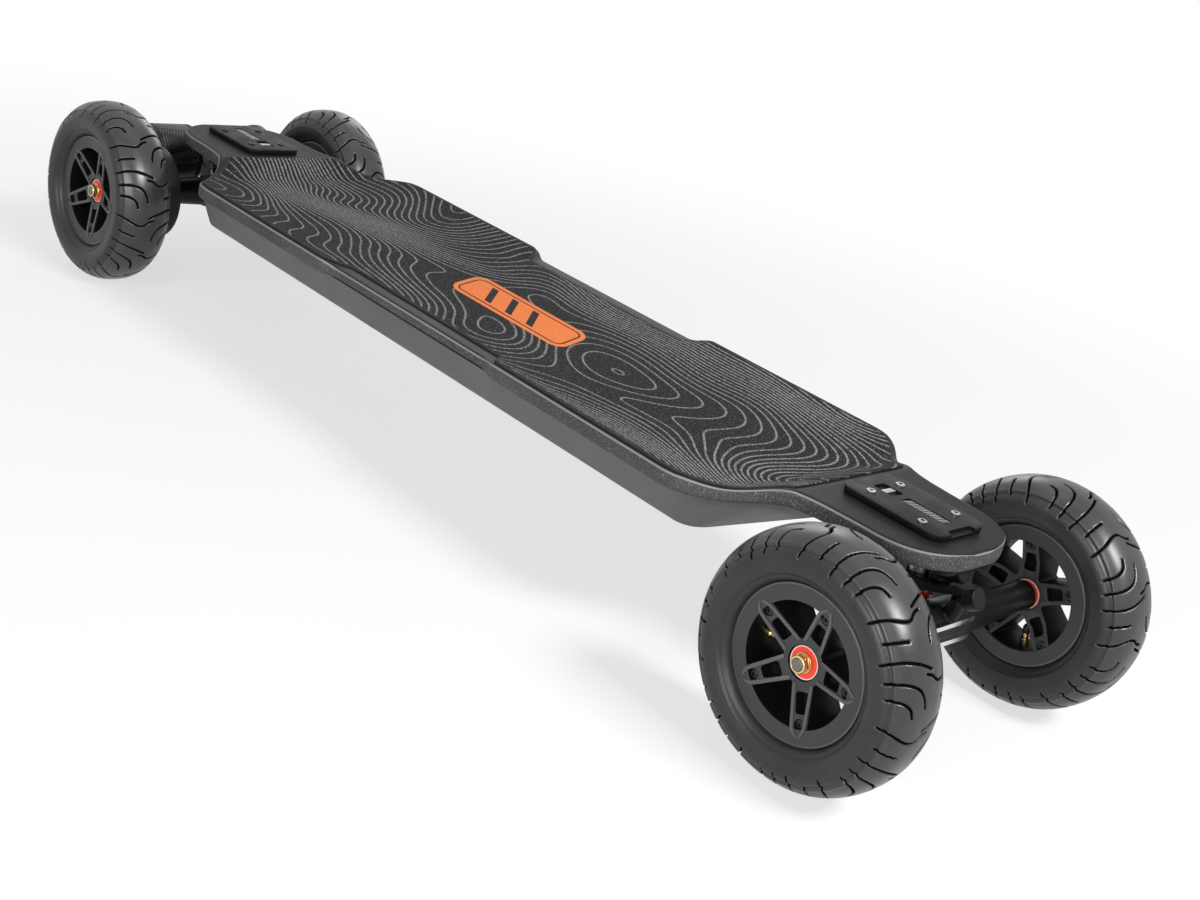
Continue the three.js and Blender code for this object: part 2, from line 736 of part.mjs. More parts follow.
const truckPoint = ([u, w], y = 0) => new THREE.Vector3(u, y, w);
const tilted = (degrees) => {
  const angle = THREE.MathUtils.degToRad(degrees);
  return new THREE.Vector3(-Math.sin(angle), 0, Math.cos(angle));
};
const axisThrough = (from, to) => truckPoint(to).sub(truckPoint(from)).normalize();
const onLine = (start, direction, distance) => truckPoint(start).addScaledVector(direction, distance);
const besidePin = (pin, along, across) => {
  const [u, w] = pin.ring;
  return [u + pin.up.x * along + pin.up.z * across, w + pin.up.z * along - pin.up.x * across];
};

const pinOf = (eye, pivot, degrees) =>
  ({ ring: eye, pivot, up: tilted(degrees), axis: axisThrough(eye, pivot) });
const upperRing = [upperRingOffset, baseplateTop - upperRingDrop];
const upperPivot = [upperPivotOffset, baseplateTop - upperPivotDrop];
const upperPin = pinOf(upperRing, upperPivot, upperKingpinTilt);
const lowerPin = pinOf(lowerRing, lowerPivot, lowerKingpinTilt);

// A piece drawn standing on the XZ plane's origin along Y, moved onto a kingpin.
function onKingpin(geometry, pin) {
  return geometry.applyQuaternion(turnOnto(pin.up)).translate(...truckPoint(pin.ring).toArray());
}

const alongPin = (pin, radius, from, to, sides) =>
  bar(radius, onLine(pin.ring, pin.up, from), onLine(pin.ring, pin.up, to), sides);

// A kingpin with its nut and lower washer; its head stands on the seat's far side.
function kingpin(pin, headStart) {
  const washerTop = -bushingEnd - gap;
  const nutTop = washerTop - washerThickness;
  const bottom = nutTop - kingpinNutHeight;
  const headEnd = headStart + kingpinHeadHeight;
  return onKingpin(turned([
    [0, bottom],
    [kingpinHeadRadius, bottom],
    [kingpinHeadRadius, nutTop],
    [washerRadius, nutTop],
    [washerRadius, washerTop],
    [kingpinRadius, washerTop],
    [kingpinRadius, headStart],
    [kingpinHeadRadius, headStart],
    [kingpinHeadRadius, headEnd],
    [0, headEnd],
  ], kingpinSides), pin);
}

function bushing(pin, side) {
  const hole = kingpinRadius + gap;
  const [near, far] = [ringFace, bushingEnd].map((distance) => side * distance);
  const [bottom, top] = [Math.min(near, far), Math.max(near, far)];
  return onKingpin(ring([
    [hole, bottom],
    [bushingRadius - bushingWaist, bottom],
    [bushingRadius, (bottom + top) * half],
    [bushingRadius - bushingWaist, top],
    [hole, top],
  ], bushingSides), pin);
}

// The pin and the cup of a pivot lie on the hinge's axis, beyond the pivot's centre.
const pivotStart = -pivotPinLength * half;
const pivotEnd = pivotPinLength * half;
const onAxis = (pin, radius, from, to, sides) =>
  bar(radius, onLine(pin.pivot, pin.axis, from), onLine(pin.pivot, pin.axis, to), sides);
const pivotPin = (pin) => onAxis(pin, pivotPinRadius, pivotStart, pivotEnd, kingpinSides);
const pivotCup = (pin) => onAxis(pin, pivotCupRadius, -gap, pivotEnd + pivotCupWall, hangerSides);
const pivotBore = (pin) => onAxis(pin, pivotPinRadius + gap, -overrun, pivotEnd + gap, kingpinSides);
const ringHalf = ringThickness * half;
const ringEye = (pin) => alongPin(pin, ringRadius, -ringHalf, ringHalf, hangerSides);
const ringBore = (pin) => alongPin(pin, ringHole, -ringThickness, ringThickness, kingpinSides);

// The upper kingpin's head sinks into the baseplate; the lower one's stands on the arm.
const plateTopOnPin = upperRingDrop / upperPin.up.z;
const upperHeadStart = plateTopOnPin - kingpinHeadHeight - kingpinHeadRadius * half;
const lowerHeadStart = seatFace + armRise + gap;

function baseplate() {
  const length = baseplateOuter - baseplateInner;
  const middle = [(baseplateInner + baseplateOuter) * half, 0];
  const past = plateTopOnPin + baseplateThickness;
  const plan = roundedBox(middle, length, baseplateWidth, plateCorner);
  const above = roundedBox(middle, 2 * length, baseplateWidth, plateCorner);
  return cut(
    join(
      levelPlate(plan, baseplateBottom, baseplateTop),
      alongPin(upperPin, seatBossRadius, seatFace, plateTopOnPin, hangerSides),
      pivotCup(upperPin),
    ),
    levelPlate(above, baseplateTop, baseplateTop + seatBossRadius),
    pivotBore(upperPin),
    alongPin(upperPin, kingpinRadius + gap, 0, past, kingpinSides),
    alongPin(upperPin, kingpinHeadRadius + gap, upperHeadStart - gap, past, kingpinSides),
  );
}

function swingArm() {
  const beamWidth = armWidth * half;
  const ringEdge = bushingRadius + bushingRoom;
  const [lowerU, lowerW] = lowerPivot;
  const overPin = (along) => {
    const across = pivotPinRadius + 2 * gap;
    const at = onLine(lowerPivot, lowerPin.axis, along);
    return [at.x - lowerPin.axis.z * across, at.z + lowerPin.axis.x * across];
  };
  const beam = outline([
    besidePin(upperPin, -ringHalf, ringEdge),
    besidePin(lowerPin, seatFace, -bushingRadius),
    besidePin(lowerPin, seatFace, bushingRadius),
    [lowerU - armKneeInset, lowerW - armKneeDrop],
    overPin(-gap),
    overPin(pivotEnd),
    [lowerU - lowerPin.axis.z * pivotCupRadius, lowerW + lowerPin.axis.x * pivotCupRadius],
    besidePin(lowerPin, seatFace + armRise, bushingRadius),
    besidePin(lowerPin, seatFace + armRise, -bushingRadius),
    besidePin(upperPin, ringHalf, ringEdge),
  ]);
  const besideHead = kingpinHeadRadius + hornRadius;
  const hornFoot = truckPoint(besidePin(lowerPin, seatFace + armRise * half, besideHead));
  const hornTip = onLine(upperPivot, upperPin.axis, pivotStart);
  return cut(
    join(
      uprightPlate(beam, -beamWidth, beamWidth),
      ringEye(upperPin),
      bar(hornRadius, hornFoot, hornTip, hangerSides),
      pivotPin(upperPin),
      pivotCup(lowerPin),
    ),
    ringBore(upperPin),
    pivotBore(lowerPin),
    alongPin(lowerPin, kingpinRadius + gap, 0, lowerHeadStart + overrun, kingpinSides),
  );
}

function hanger() {
  const end = track * half - bearingSpan * half - gap;
  const noseStart = end - hangerNoseLength;
  const taperEnd = end - hangerEndLength;
  const tube = turned([
    [0, -end],
    [hangerNoseRadius, -end],
    [hangerNoseRadius, -noseStart],
    [hangerEndRadius, -noseStart],
    [hangerEndRadius, -taperEnd],
    [hangerMiddleRadius, -hangerTaperStart],
    [hangerMiddleRadius, hangerTaperStart],
    [hangerEndRadius, taperEnd],
    [hangerEndRadius, noseStart],
    [hangerNoseRadius, noseStart],
    [hangerNoseRadius, end],
    [0, end],
  ], hangerSides);
  const blockHalf = hangerBlockWidth * half;
  const rib = (w) =>
    new THREE.BoxGeometry(ribReach, hangerBlockWidth, ribThickness).translate(ribReach * half, 0, w);
  const hornFoot = truckPoint([hangerMiddleRadius * half, 0]);
  const hornTip = onLine(lowerPivot, lowerPin.axis, pivotStart);
  const pocketEnd = seatFace + ringRadius;
  const bushingPocket = (side) =>
    alongPin(lowerPin, bushingRadius + bushingRoom, side * ringHalf, side * pocketEnd, hangerSides);
  return cut(
    join(
      tube,
      ringEye(lowerPin),
      crossBar(ringRadius, [0, 0], -blockHalf, blockHalf, hangerSides),
      rib(ribSpacing * half),
      rib(-ribSpacing * half),
      bar(hornRadius, hornFoot, hornTip, hangerSides),
      pivotPin(lowerPin),
    ),
    crossBar(axleRadius + gap, [0, 0], -end - overrun, end + overrun, axleSides),
    ringBore(lowerPin),
    bushingPocket(1),
    bushingPocket(-1),
  );
}

function axle() {
  const end = (track + bearingSpan) * half + gap + nutThickness + axleProud;
  return crossBar(axleRadius, [0, 0], -end, end, axleSides);
}

function addTruck(board, end) {
  const name = end > 0 ? "front" : "rear";
  const truck = new THREE.Group();
  truck.position.set(end * axlePlace, 0, axleHeight);
  truck.rotation.z = end > 0 ? 0 : Math.PI;
  place(truck, `${name}_baseplate`, baseplate(), blackMetal());
  place(truck, `${name}_swing_arm`, swingArm(), blackMetal());
  place(truck, `${name}_hanger`, hanger(), blackMetal());
  place(truck, `${name}_axle`, axle(), plainSteel());
  place(truck, `${name}_upper_kingpin`, kingpin(upperPin, upperHeadStart), plainSteel());
  place(truck, `${name}_lower_kingpin`, kingpin(lowerPin, lowerHeadStart), plainSteel());
  place(truck, `${name}_upper_top_bushing`, bushing(upperPin, 1), redUrethane());
  place(truck, `${name}_upper_bottom_bushing`, bushing(upperPin, -1), redUrethane());
  place(truck, `${name}_lower_top_bushing`, bushing(lowerPin, 1), redUrethane());
  place(truck, `${name}_lower_bottom_bushing`, bushing(lowerPin, -1), redUrethane());
  board.add(truck);
  return truck;
}

// Drives: in the rear truck's frame, on the side that the sign gives

const coverOuter = (track - rimWidth) * half - coverRimSpace;
const beltEnd = coverOuter - coverFace - beltOuterSpace;
const beltStart = beltEnd - beltWidth;
const mountEnd = beltStart - beltInnerSpace;
const motorOuter = mountEnd - mountThickness - gap;
const betweenY = (side, from, to) => (side > 0 ? [from, to] : [-to, -from]);

function motor(side) {
  const [from, to] = betweenY(side, motorInner, motorOuter);
  return turned([
    [0, from],
    [motorRadius - motorEndBevel, from],
    [motorRadius, from + motorEndBevel],
    [motorRadius, to - motorEndBevel],
    [motorRadius - motorEndBevel, to],
    [0, to],
  ], motorSides).translate(motorShaft[0], 0, motorShaft[1]);
}

function motorMount(side) {
  const plateEnds = betweenY(side, motorOuter + gap, mountEnd);
  const clampEnds = betweenY(side, mountEnd - mountClampWidth, mountEnd);
  const through = betweenY(side, motorInner, mountEnd + overrun);
  return cut(
    join(
      uprightPlate(loopAround(mountClampRadius, motorRadius + mountMotorMargin), ...plateEnds),
      crossBar(mountClampRadius, [0, 0], ...clampEnds, hangerSides),
    ),
    crossBar(hangerMiddleRadius, [0, 0], ...through, hangerSides),
    crossBar(shaftRadius + shaftClearance, motorShaft, ...through, axleSides),
  );
}

const onSide = (side, profile) =>
  side > 0 ? profile : profile.map(([r, y]) => [r, -y]).reverse();

// The motor's shaft and its pulley turn as one.
function motorPulley(side) {
  const toothRadius = motorPulleyRadius - gap;
  const start = motorOuter + gap;
  return turned(onSide(side, [
    [0, start],
    [shaftRadius, start],
    [shaftRadius, beltStart - pulleyFlange],
    [toothRadius, beltStart - pulleyFlange],
    [toothRadius, beltEnd],
    [0, beltEnd],
  ]), pulleySides).translate(motorShaft[0], 0, motorShaft[1]);
}

function driveBelt(side) {
  const loop = loopAround(wheelPulleyRadius + beltThickness, motorPulleyRadius + beltThickness);
  loop.holes = [loopAround(wheelPulleyRadius, motorPulleyRadius)];
  return uprightPlate(loop, ...betweenY(side, beltStart, beltEnd));
}

function wheelPulley(side) {
  const sleeveEnd = (track - spiderWidth) * half - gap;
  const toothRadius = wheelPulleyRadius - gap;
  return ring(onSide(side, [
    [wheelPulleyBore, beltStart],
    [toothRadius, beltStart],
    [toothRadius, beltEnd - pulleyFlange],
    [wheelPulleySleeve, beltEnd - pulleyFlange],
    [wheelPulleySleeve, sleeveEnd],
    [wheelPulleyBore, sleeveEnd],
  ].map(([r, y]) => [r * Math.cos(Math.PI / pulleySides), y])), pulleySides);
}

function beltCover(side) {
  const around = beltThickness + coverClearance;
  const shell = (offset) => loopAround(wheelPulleyRadius + offset, motorPulleyRadius + offset);
  const start = mountEnd + gap;
  const port = betweenY(side, start, coverOuter + overrun);
  return cut(
    uprightPlate(shell(around + coverWall), ...betweenY(side, start, coverOuter)),
    uprightPlate(shell(around), ...betweenY(side, start - overrun, coverOuter - coverFace)),
    crossBar(wheelPulleySleeve + coverPortClearance, [0, 0], ...port, pulleySides),
  );
}

function addDrive(truck, side) {
  const name = side > 0 ? "right" : "left"; // the rear truck is turned round, so its +Y is the board's right
  place(truck, `${name}_motor`, motor(side), blackMetal());
  place(truck, `${name}_motor_mount`, motorMount(side), blackMetal());
  place(truck, `${name}_motor_pulley`, motorPulley(side), plainSteel());
  place(truck, `${name}_drive_belt`, driveBelt(side), tyreRubber());
  place(truck, `${name}_wheel_pulley`, wheelPulley(side), blackMetal());
  place(truck, `${name}_belt_cover`, beltCover(side), blackPlastic());
}

const board = new THREE.Group();
place(board, "deck_board", deckBoard(), composite());
place(board, "grip_sheet", gripSheet(), gritSheet());
place(board, "lower_shell", lowerShell(), composite());
place(board, "battery_pack", batteryPack(), blueWrap());
place(board, "motor_controller", motorController(), blackMetal());
place(board, "front_deck_plate", deckPlate(), blackPlastic());
place(board, "rear_deck_plate", deckPlate().rotateZ(Math.PI), blackPlastic());
place(board, "power_button", powerButton(), plainSteel());

addTruck(board, 1);
const rearTruck = addTruck(board, -1);
for (const side of [1, -1]) addDrive(rearTruck, side);

addWheel(board, 1, 1, frontLeftSpoke);
addWheel(board, 1, -1, frontRightSpoke);
addWheel(board, -1, 1, rearLeftSpoke);
addWheel(board, -1, -1, rearRightSpoke);

export default board;
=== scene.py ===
import math
import bpy
import bmesh
import numpy as np
from mathutils import Matrix, Vector


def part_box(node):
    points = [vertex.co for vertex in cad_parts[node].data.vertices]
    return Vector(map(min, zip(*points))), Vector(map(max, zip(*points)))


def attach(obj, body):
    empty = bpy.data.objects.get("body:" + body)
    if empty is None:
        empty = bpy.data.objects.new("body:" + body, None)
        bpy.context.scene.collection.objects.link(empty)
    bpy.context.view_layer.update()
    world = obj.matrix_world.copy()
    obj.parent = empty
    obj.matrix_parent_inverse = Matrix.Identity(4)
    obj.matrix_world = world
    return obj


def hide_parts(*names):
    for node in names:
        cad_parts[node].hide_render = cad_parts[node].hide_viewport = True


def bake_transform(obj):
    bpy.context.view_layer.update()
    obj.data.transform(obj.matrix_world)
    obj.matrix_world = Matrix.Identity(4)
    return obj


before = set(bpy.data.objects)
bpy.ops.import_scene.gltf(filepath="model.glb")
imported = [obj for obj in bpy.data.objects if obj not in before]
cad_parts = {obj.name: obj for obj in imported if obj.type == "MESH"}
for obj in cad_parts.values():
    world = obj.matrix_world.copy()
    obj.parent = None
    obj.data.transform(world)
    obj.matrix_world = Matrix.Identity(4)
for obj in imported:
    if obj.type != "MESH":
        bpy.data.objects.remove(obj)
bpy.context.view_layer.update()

mm = 0.001
quarter = math.pi / 2
fullTurn = 2 * math.pi
plainWhite = (1, 1, 1, 1)

# Camera, floor and light
viewSettings = {
    "azimuth": 42.25,       # degrees round the board, 0 looks along +Y
    "elevation": 21.57,
    "roll": 13.5,
    "place": (0.92327, -0.87814, 0.52925),
    "lens": 49.39,
    "sensor": 36.0,
    "clip": (0.01, 100.0),          # metres, near and far
    "floorSize": 12.0,
    "floorColour": (0.8, 0.81, 0.82),
    "floorWhiteness": (0.66, 1.0),  # share of plain white that the camera sees, near and far
    "floorReach": (0.5, 1.35),      # metres from the middle of the board
    "worldStrength": 0.2,
    "lamps": {              # place, target, size, power
        "side lamp": ((1.15, -2.5, 0.95), (0.25, 0, 0.1), (2.0, 0.9), 56),
        "front lamp": ((1.75, 0.1, 1.75), (0.4, -0.05, 0.1), (0.7, 0.5), 54),
        "top lamp": ((-0.5, 0.2, 2.5), (-0.3, 0, 0.1), (1.6, 1.2), 4),
        "back lamp": ((-1.7, 1.9, 1.2), (0, 0, 0.1), (1.2, 1.0), 10),
    },
}


def makeCamera(view):
    azimuth, elevation = math.radians(view["azimuth"]), math.radians(view["elevation"])
    back = Vector((
        math.sin(azimuth) * math.cos(elevation),
        -math.cos(azimuth) * math.cos(elevation),
        math.sin(elevation),
    ))
    right = (-back).cross(Vector((0, 0, 1))).normalized()
    up = right.cross(-back)
    roll = math.radians(view["roll"])
    turnedRight = right * math.cos(roll) + up * math.sin(roll)
    turnedUp = up * math.cos(roll) - right * math.sin(roll)
    data = bpy.data.cameras.new("camera")
    data.lens = view["lens"]
    data.sensor_width = view["sensor"]
    data.clip_start, data.clip_end = view["clip"]
    camera = bpy.data.objects.new("camera", data)
    turn = Matrix((turnedRight, turnedUp, back)).transposed().to_4x4()
    camera.matrix_world = Matrix.Translation(view["place"]) @ turn
    bpy.context.scene.collection.objects.link(camera)
    bpy.context.scene.camera = camera


def makeLamp(name, place, target, size, power):
    data = bpy.data.lights.new(name, "AREA")
    data.shape = "RECTANGLE"
    data.size, data.size_y = size
    data.energy = power
    lamp = bpy.data.objects.new(name, data)
    lamp.location = place
    lamp.rotation_euler = (Vector(target) - Vector(place)).to_track_quat("-Z", "Y").to_euler()
    bpy.context.scene.collection.objects.link(lamp)


def addNode(tree, kind, inputs=None, **settings):
    node = tree.nodes.new("ShaderNode" + kind)
    for key, value in settings.items():
        setattr(node, key, value)
    for key, value in (inputs or {}).items():
        if isinstance(value, bpy.types.NodeSocket):
            tree.links.new(value, node.inputs[key])
        else:
            node.inputs[key].default_value = value
    return node


def calc(tree, operation, first, second=0.0, third=0.0):
    return addNode(tree, "Math", {0: first, 1: second, 2: third}, operation=operation).outputs[0]


def seenDirectly(tree):
    # 1 for the camera and for what it sees in metal or through glass
    path = addNode(tree, "LightPath").outputs
    seen = calc(tree, "MAXIMUM", path["Is Camera Ray"], path["Is Glossy Ray"])
    return calc(tree, "MAXIMUM", seen, path["Is Transmission Ray"])


def makeWorld(view):
    world = bpy.data.worlds.new("studio")
    bpy.context.scene.world = world
    world.use_nodes = True
    tree = world.node_tree
    tree.nodes.clear()
    soft = addNode(tree, "Background", {"Color": plainWhite, "Strength": view["worldStrength"]})
    white = addNode(tree, "Background", {"Color": plainWhite, "Strength": 1.0})
    both = addNode(tree, "MixShader", {0: seenDirectly(tree), 1: soft.outputs[0], 2: white.outputs[0]})
    addNode(tree, "OutputWorld", {"Surface": both.outputs[0]})


def paleFloorFinish(view):
    # matt paint, with a share of plain white that grows away from the board
    material = bpy.data.materials.new("pale floor")
    material.use_nodes = True
    tree = material.node_tree
    tree.nodes.clear()
    paint = addNode(tree, "BsdfDiffuse", {"Color": (*view["floorColour"], 1)})
    glow = addNode(tree, "Emission", {"Color": plainWhite, "Strength": 1.0})
    place = addNode(tree, "TexCoord").outputs["Object"]
    distance = addNode(tree, "VectorMath", {0: place}, operation="LENGTH").outputs["Value"]
    start, end = view["floorReach"]
    near, far = view["floorWhiteness"]
    inputs = {"Value": distance, "From Min": start, "From Max": end, "To Min": near, "To Max": far}
    white = addNode(tree, "MapRange", inputs, interpolation_type="SMOOTHSTEP").outputs["Result"]
    share = calc(tree, "MULTIPLY", seenDirectly(tree), white)
    both = addNode(tree, "MixShader", {0: share, 1: paint.outputs[0], 2: glow.outputs[0]})
    addNode(tree, "OutputMaterial", {"Surface": both.outputs[0]})
    return material


def makeFloor(view):
    size = view["floorSize"]
    corners = [(-size, -size, 0), (size, -size, 0), (size, size, 0), (-size, size, 0)]
    mesh = bpy.data.meshes.new("floor")
    mesh.from_pydata(corners, [], [(0, 1, 2, 3)])
    mesh.materials.append(paleFloorFinish(view))
    floor = bpy.data.objects.new("floor", mesh)
    bpy.context.scene.collection.objects.link(floor)


bpy.context.scene.view_settings.view_transform = "Standard"
makeCamera(viewSettings)
makeWorld(viewSettings)
makeFloor(viewSettings)
for lampName, lampSettings in viewSettings["lamps"].items():
    makeLamp(lampName, *lampSettings)
print("camera and studio ready")


# Shapes: a list of points in millimetres and a list of faces
nearlyStraight = 3.0    # radians between two sides, above which a corner stays as it is
longestFillet = 0.45    # share of a side that a rounded corner may take up


def filleted(points, radius, closed=False, steps=3):
    made = []
    for i, point in enumerate(points):
        corner = Vector(point)
        if not closed and i in (0, len(points) - 1):
            made.append(corner)
            continue
        before = Vector(points[i - 1]) - corner
        after = Vector(points[(i + 1) % len(points)]) - corner
        opening = before.angle(after)
        if opening > nearlyStraight:
            made.append(corner)
            continue
        room = min(before.length, after.length) * longestFillet
        reach = min(radius / math.tan(opening / 2), room)
        start = corner + before.normalized() * reach
        end = corner + after.normalized() * reach
        for step in range(steps + 1):
            share = step / steps
            made.append(start.lerp(corner, share).lerp(corner.lerp(end, share), share))
    return made


def turned(profile, steps=96, closed=False):
    # a profile of radii and heights, turned round the Y axis
    rows = len(profile)
    points = []
    for k in range(steps):
        angle = fullTurn * k / steps
        points += [Vector((r * math.cos(angle), y, r * math.sin(angle))) for r, y in profile]
    faces = []
    for k in range(steps):
        near, far = k * rows, (k + 1) % steps * rows
        for i in range(rows if closed else rows - 1):
            j = (i + 1) % rows
            faces.append((near + i, near + j, far + j, far + i))
    return points, faces


def lofted(rings):
    # a skin from ring to ring, closed at both ends
    count = len(rings[0])
    points = [Vector(p) for ring in rings for p in ring]
    faces = []
    for i in range(len(rings) - 1):
        near, far = i * count, (i + 1) * count
        for j in range(count):
            k = (j + 1) % count
            faces.append((near + j, near + k, far + k, far + j))
    faces.append(tuple(range(count)))
    faces.append(tuple(range(len(points) - count, len(points)))[::-1])
    return points, faces


def moved(shape, matrix):
    return [matrix @ p for p in shape[0]], shape[1]


def along(start, direction):
    turn = Vector((0, 1, 0)).rotation_difference(Vector(direction)).to_matrix().to_4x4()
    return Matrix.Translation(Vector(start)) @ turn


def bar(radius, start, end, steps=48, edge=0.5):
    reach = Vector(end) - Vector(start)
    profile = filleted([(0, 0), (radius, 0), (radius, reach.length), (0, reach.length)], edge)
    return moved(turned(profile, steps), along(start, reach))


def raised(axis, a, b, height):
    # a spot of a flat outline, at a height along Y or Z
    return (a, height, b) if axis == "Y" else (a, b, height)


def prism(outline, low, high, axis="Y"):
    return lofted([[raised(axis, a, b, height) for a, b in outline] for height in (low, high)])


def roundedPlate(outline, low, high, edge, axis="Y", steps=3):
    # a plate whose outline shrinks along a quarter round at each face
    spots = [Vector(p) for p in outline]
    count = len(spots)
    area = sum(spots[i - 1].cross(spots[i]) for i in range(count))
    normals = []
    for i in range(count):
        tangent = (spots[(i + 1) % count] - spots[i - 1]).normalized()
        normals.append(Vector((tangent.y, -tangent.x)) * (1 if area > 0 else -1))
    rings = []
    for step in range(steps + 1):
        angle = quarter * step / steps
        rings.append((edge * (1 - math.sin(angle)), low + edge * (1 - math.cos(angle))))
    rings += [(inset, low + high - height) for inset, height in reversed(rings)]
    return lofted([
        [raised(axis, *(spot - normal * inset), height) for spot, normal in zip(spots, normals)]
        for inset, height in rings
    ])


def arc(centre, radius, start, end, steps):
    return [
        (centre[0] + radius * math.cos(start + (end - start) * k / steps),
         centre[1] + radius * math.sin(start + (end - start) * k / steps))
        for k in range(steps + 1)
    ]


def roundedRectangle(middle, length, width, corner, steps=8):
    x, y = length / 2 - corner, width / 2 - corner
    centres = [(x, y), (-x, y), (-x, -y), (x, -y)]
    return [
        (middle[0] + p[0], middle[1] + p[1])
        for i, centre in enumerate(centres)
        for p in arc(centre, corner, i * quarter, (i + 1) * quarter, steps)
    ]


boltValues = {
    "socket": 0.5,      # half width of the hexagonal socket, share of the head's radius
    "depth": 0.6,       # of the socket, share of the head's height
    "bevel": 0.86,      # where the head's top edge starts
    "steps": 36,
}


def boltShape(radius, height):
    # a cap screw standing on the origin along Y
    v = boltValues
    hole, floor = radius * v["socket"], height * (1 - v["depth"])
    rows = [
        (0, floor, True), (hole, floor, True), (hole, height, True),
        (radius * v["bevel"], height, False), (radius, height * v["bevel"], False),
        (radius, 0, False), (0, 0, False),
    ]
    points = []
    for k in range(v["steps"]):
        angle = fullTurn * k / v["steps"]
        flat = math.cos(math.pi / 6) / math.cos((angle % (math.pi / 3)) - math.pi / 6)
        for r, y, hexed in rows:
            reach = r * (flat if hexed else 1)
            points.append(Vector((reach * math.cos(angle), y, reach * math.sin(angle))))
    count = len(rows)
    faces = []
    for k in range(v["steps"]):
        near, far = k * count, (k + 1) % v["steps"] * count
        faces += [(near + i, near + i + 1, far + i + 1, far + i) for i in range(count - 1)]
    return points, faces


weldDistance = 1e-7     # metres, below which two points become one


def meshOf(name, shapes):
    points, faces = [], []
    for shapePoints, shapeFaces in shapes:
        start = len(points)
        points += [tuple(p * mm) for p in shapePoints]
        faces += [tuple(start + i for i in face) for face in shapeFaces]
    mesh = bpy.data.meshes.new(name)
    mesh.from_pydata(points, [], faces)
    work = bmesh.new()
    work.from_mesh(mesh)
    bmesh.ops.remove_doubles(work, verts=work.verts, dist=weldDistance)
    bmesh.ops.recalc_face_normals(work, faces=work.faces)
    work.to_mesh(mesh)
    work.free()
    return mesh


def asObject(name, mesh):
    made = bpy.data.objects.new(name, mesh)
    bpy.context.scene.collection.objects.link(made)
    return made


def applied(item):
    # the object's mesh with all its modifiers worked out
    depsgraph = bpy.context.evaluated_depsgraph_get()
    mesh = bpy.data.meshes.new_from_object(item.evaluated_get(depsgraph))
    bpy.data.objects.remove(item)
    return mesh


def carved(name, base, joined=(), removed=()):
    # a solid from a base shape with others joined to it and then cut away
    item = asObject(name, meshOf(name, [base]))
    helpers = []
    for operation, shapes in (("UNION", joined), ("DIFFERENCE", removed)):
        for shape in shapes:
            helper = asObject(name + " helper", meshOf(name + " helper", [shape]))
            modifier = item.modifiers.new("join or cut", "BOOLEAN")
            modifier.operation = operation
            modifier.solver = "MANIFOLD"
            modifier.object = helper
            helpers.append(helper)
    mesh = applied(item)
    for helper in helpers:
        bpy.data.objects.remove(helper)
    return mesh


castValues = {
    "grain": 0.9,       # mm, size of the even skin
    "softness": 0.5,
    "rounds": 3,
}


def castMesh(mesh):
    # soft edges like those of a cast piece: an even fine skin, then smoothed
    item = asObject("cast", mesh)
    skin = item.modifiers.new("skin", "REMESH")
    skin.mode = "VOXEL"
    skin.voxel_size = castValues["grain"] * mm
    soft = item.modifiers.new("soft edges", "SMOOTH")
    soft.factor = castValues["softness"]
    soft.iterations = castValues["rounds"]
    return applied(item)


def bevelled(mesh, width, degrees):
    item = asObject("bevelled", mesh)
    bevel = item.modifiers.new("edges", "BEVEL")
    bevel.width = width * mm
    bevel.segments = 2
    bevel.limit_method = "ANGLE"
    bevel.angle_limit = math.radians(degrees)
    return applied(item)


def smoothed(mesh, degrees):
    # smooth shading, with the edges above an angle left sharp
    mesh.shade_smooth()
    mesh.set_sharp_from_angle(angle=math.radians(degrees))


def finishPiece(name, mesh, looks, body, nodes=(), matrix=None, smooth=35):
    # one finish, or a list of them that the faces already point into
    if matrix:
        mesh.transform(matrix)
    smoothed(mesh, smooth)
    shares = [face.material_index for face in mesh.polygons]
    mesh.materials.clear()
    for look in looks if isinstance(looks, list) else [looks]:
        mesh.materials.append(look)
    if len(mesh.materials) > 1:
        mesh.polygons.foreach_set("material_index", shares)
    piece = asObject(name, mesh)
    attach(piece, body)
    if nodes:
        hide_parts(*nodes)


def inMetres(matrix):
    scaled = matrix.copy()
    scaled.translation *= mm
    return scaled


def boxOf(node):
    low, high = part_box(node)
    return low / mm, high / mm


# Finishes
noiseRange = (0.3, 0.7)     # noise hardly leaves this range

shaderSockets = {
    "colour": "Base Color",
    "rough": "Roughness",
    "metal": "Metallic",
    "specular": "Specular IOR Level",
    "coat": "Coat Weight",
    "coatRough": "Coat Roughness",
    "normal": "Normal",
}


def newFinish(name):
    material = bpy.data.materials.new(name)
    material.use_nodes = True
    tree = material.node_tree
    shader = tree.nodes["Principled BSDF"]
    place = addNode(tree, "TexCoord").outputs["Object"]
    return material, tree, shader, place


def noise(tree, place, scale, detail=3.0, roughness=0.55):
    inputs = {"Vector": place, "Scale": scale, "Detail": detail, "Roughness": roughness}
    return addNode(tree, "TexNoise", inputs).outputs["Fac"]


def layered(tree, first, second, share):
    # two noises in one, with the share of the first
    return calc(tree, "MULTIPLY_ADD", first, share, calc(tree, "MULTIPLY", second, 1 - share))


def grey(level):
    return level, level, level


def tinted(colour, factor):
    return tuple(min(1.0, c * factor) for c in colour)


def shades(tree, factor, stops):
    # a colour ramp; each stop is a place and a linear colour or grey
    node = addNode(tree, "ValToRGB", {"Fac": factor})
    ramp = node.color_ramp
    for i, (at, colour) in enumerate(stops):
        stop = ramp.elements[i] if i < 2 else ramp.elements.new(at)
        stop.position = at
        stop.color = (*colour, 1) if isinstance(colour, tuple) else (*grey(colour), 1)
    return node.outputs["Color"]


def mottled(tree, level, dark, light):
    # a noise as a colour between two shades
    return shades(tree, level, list(zip(noiseRange, (dark, light))))


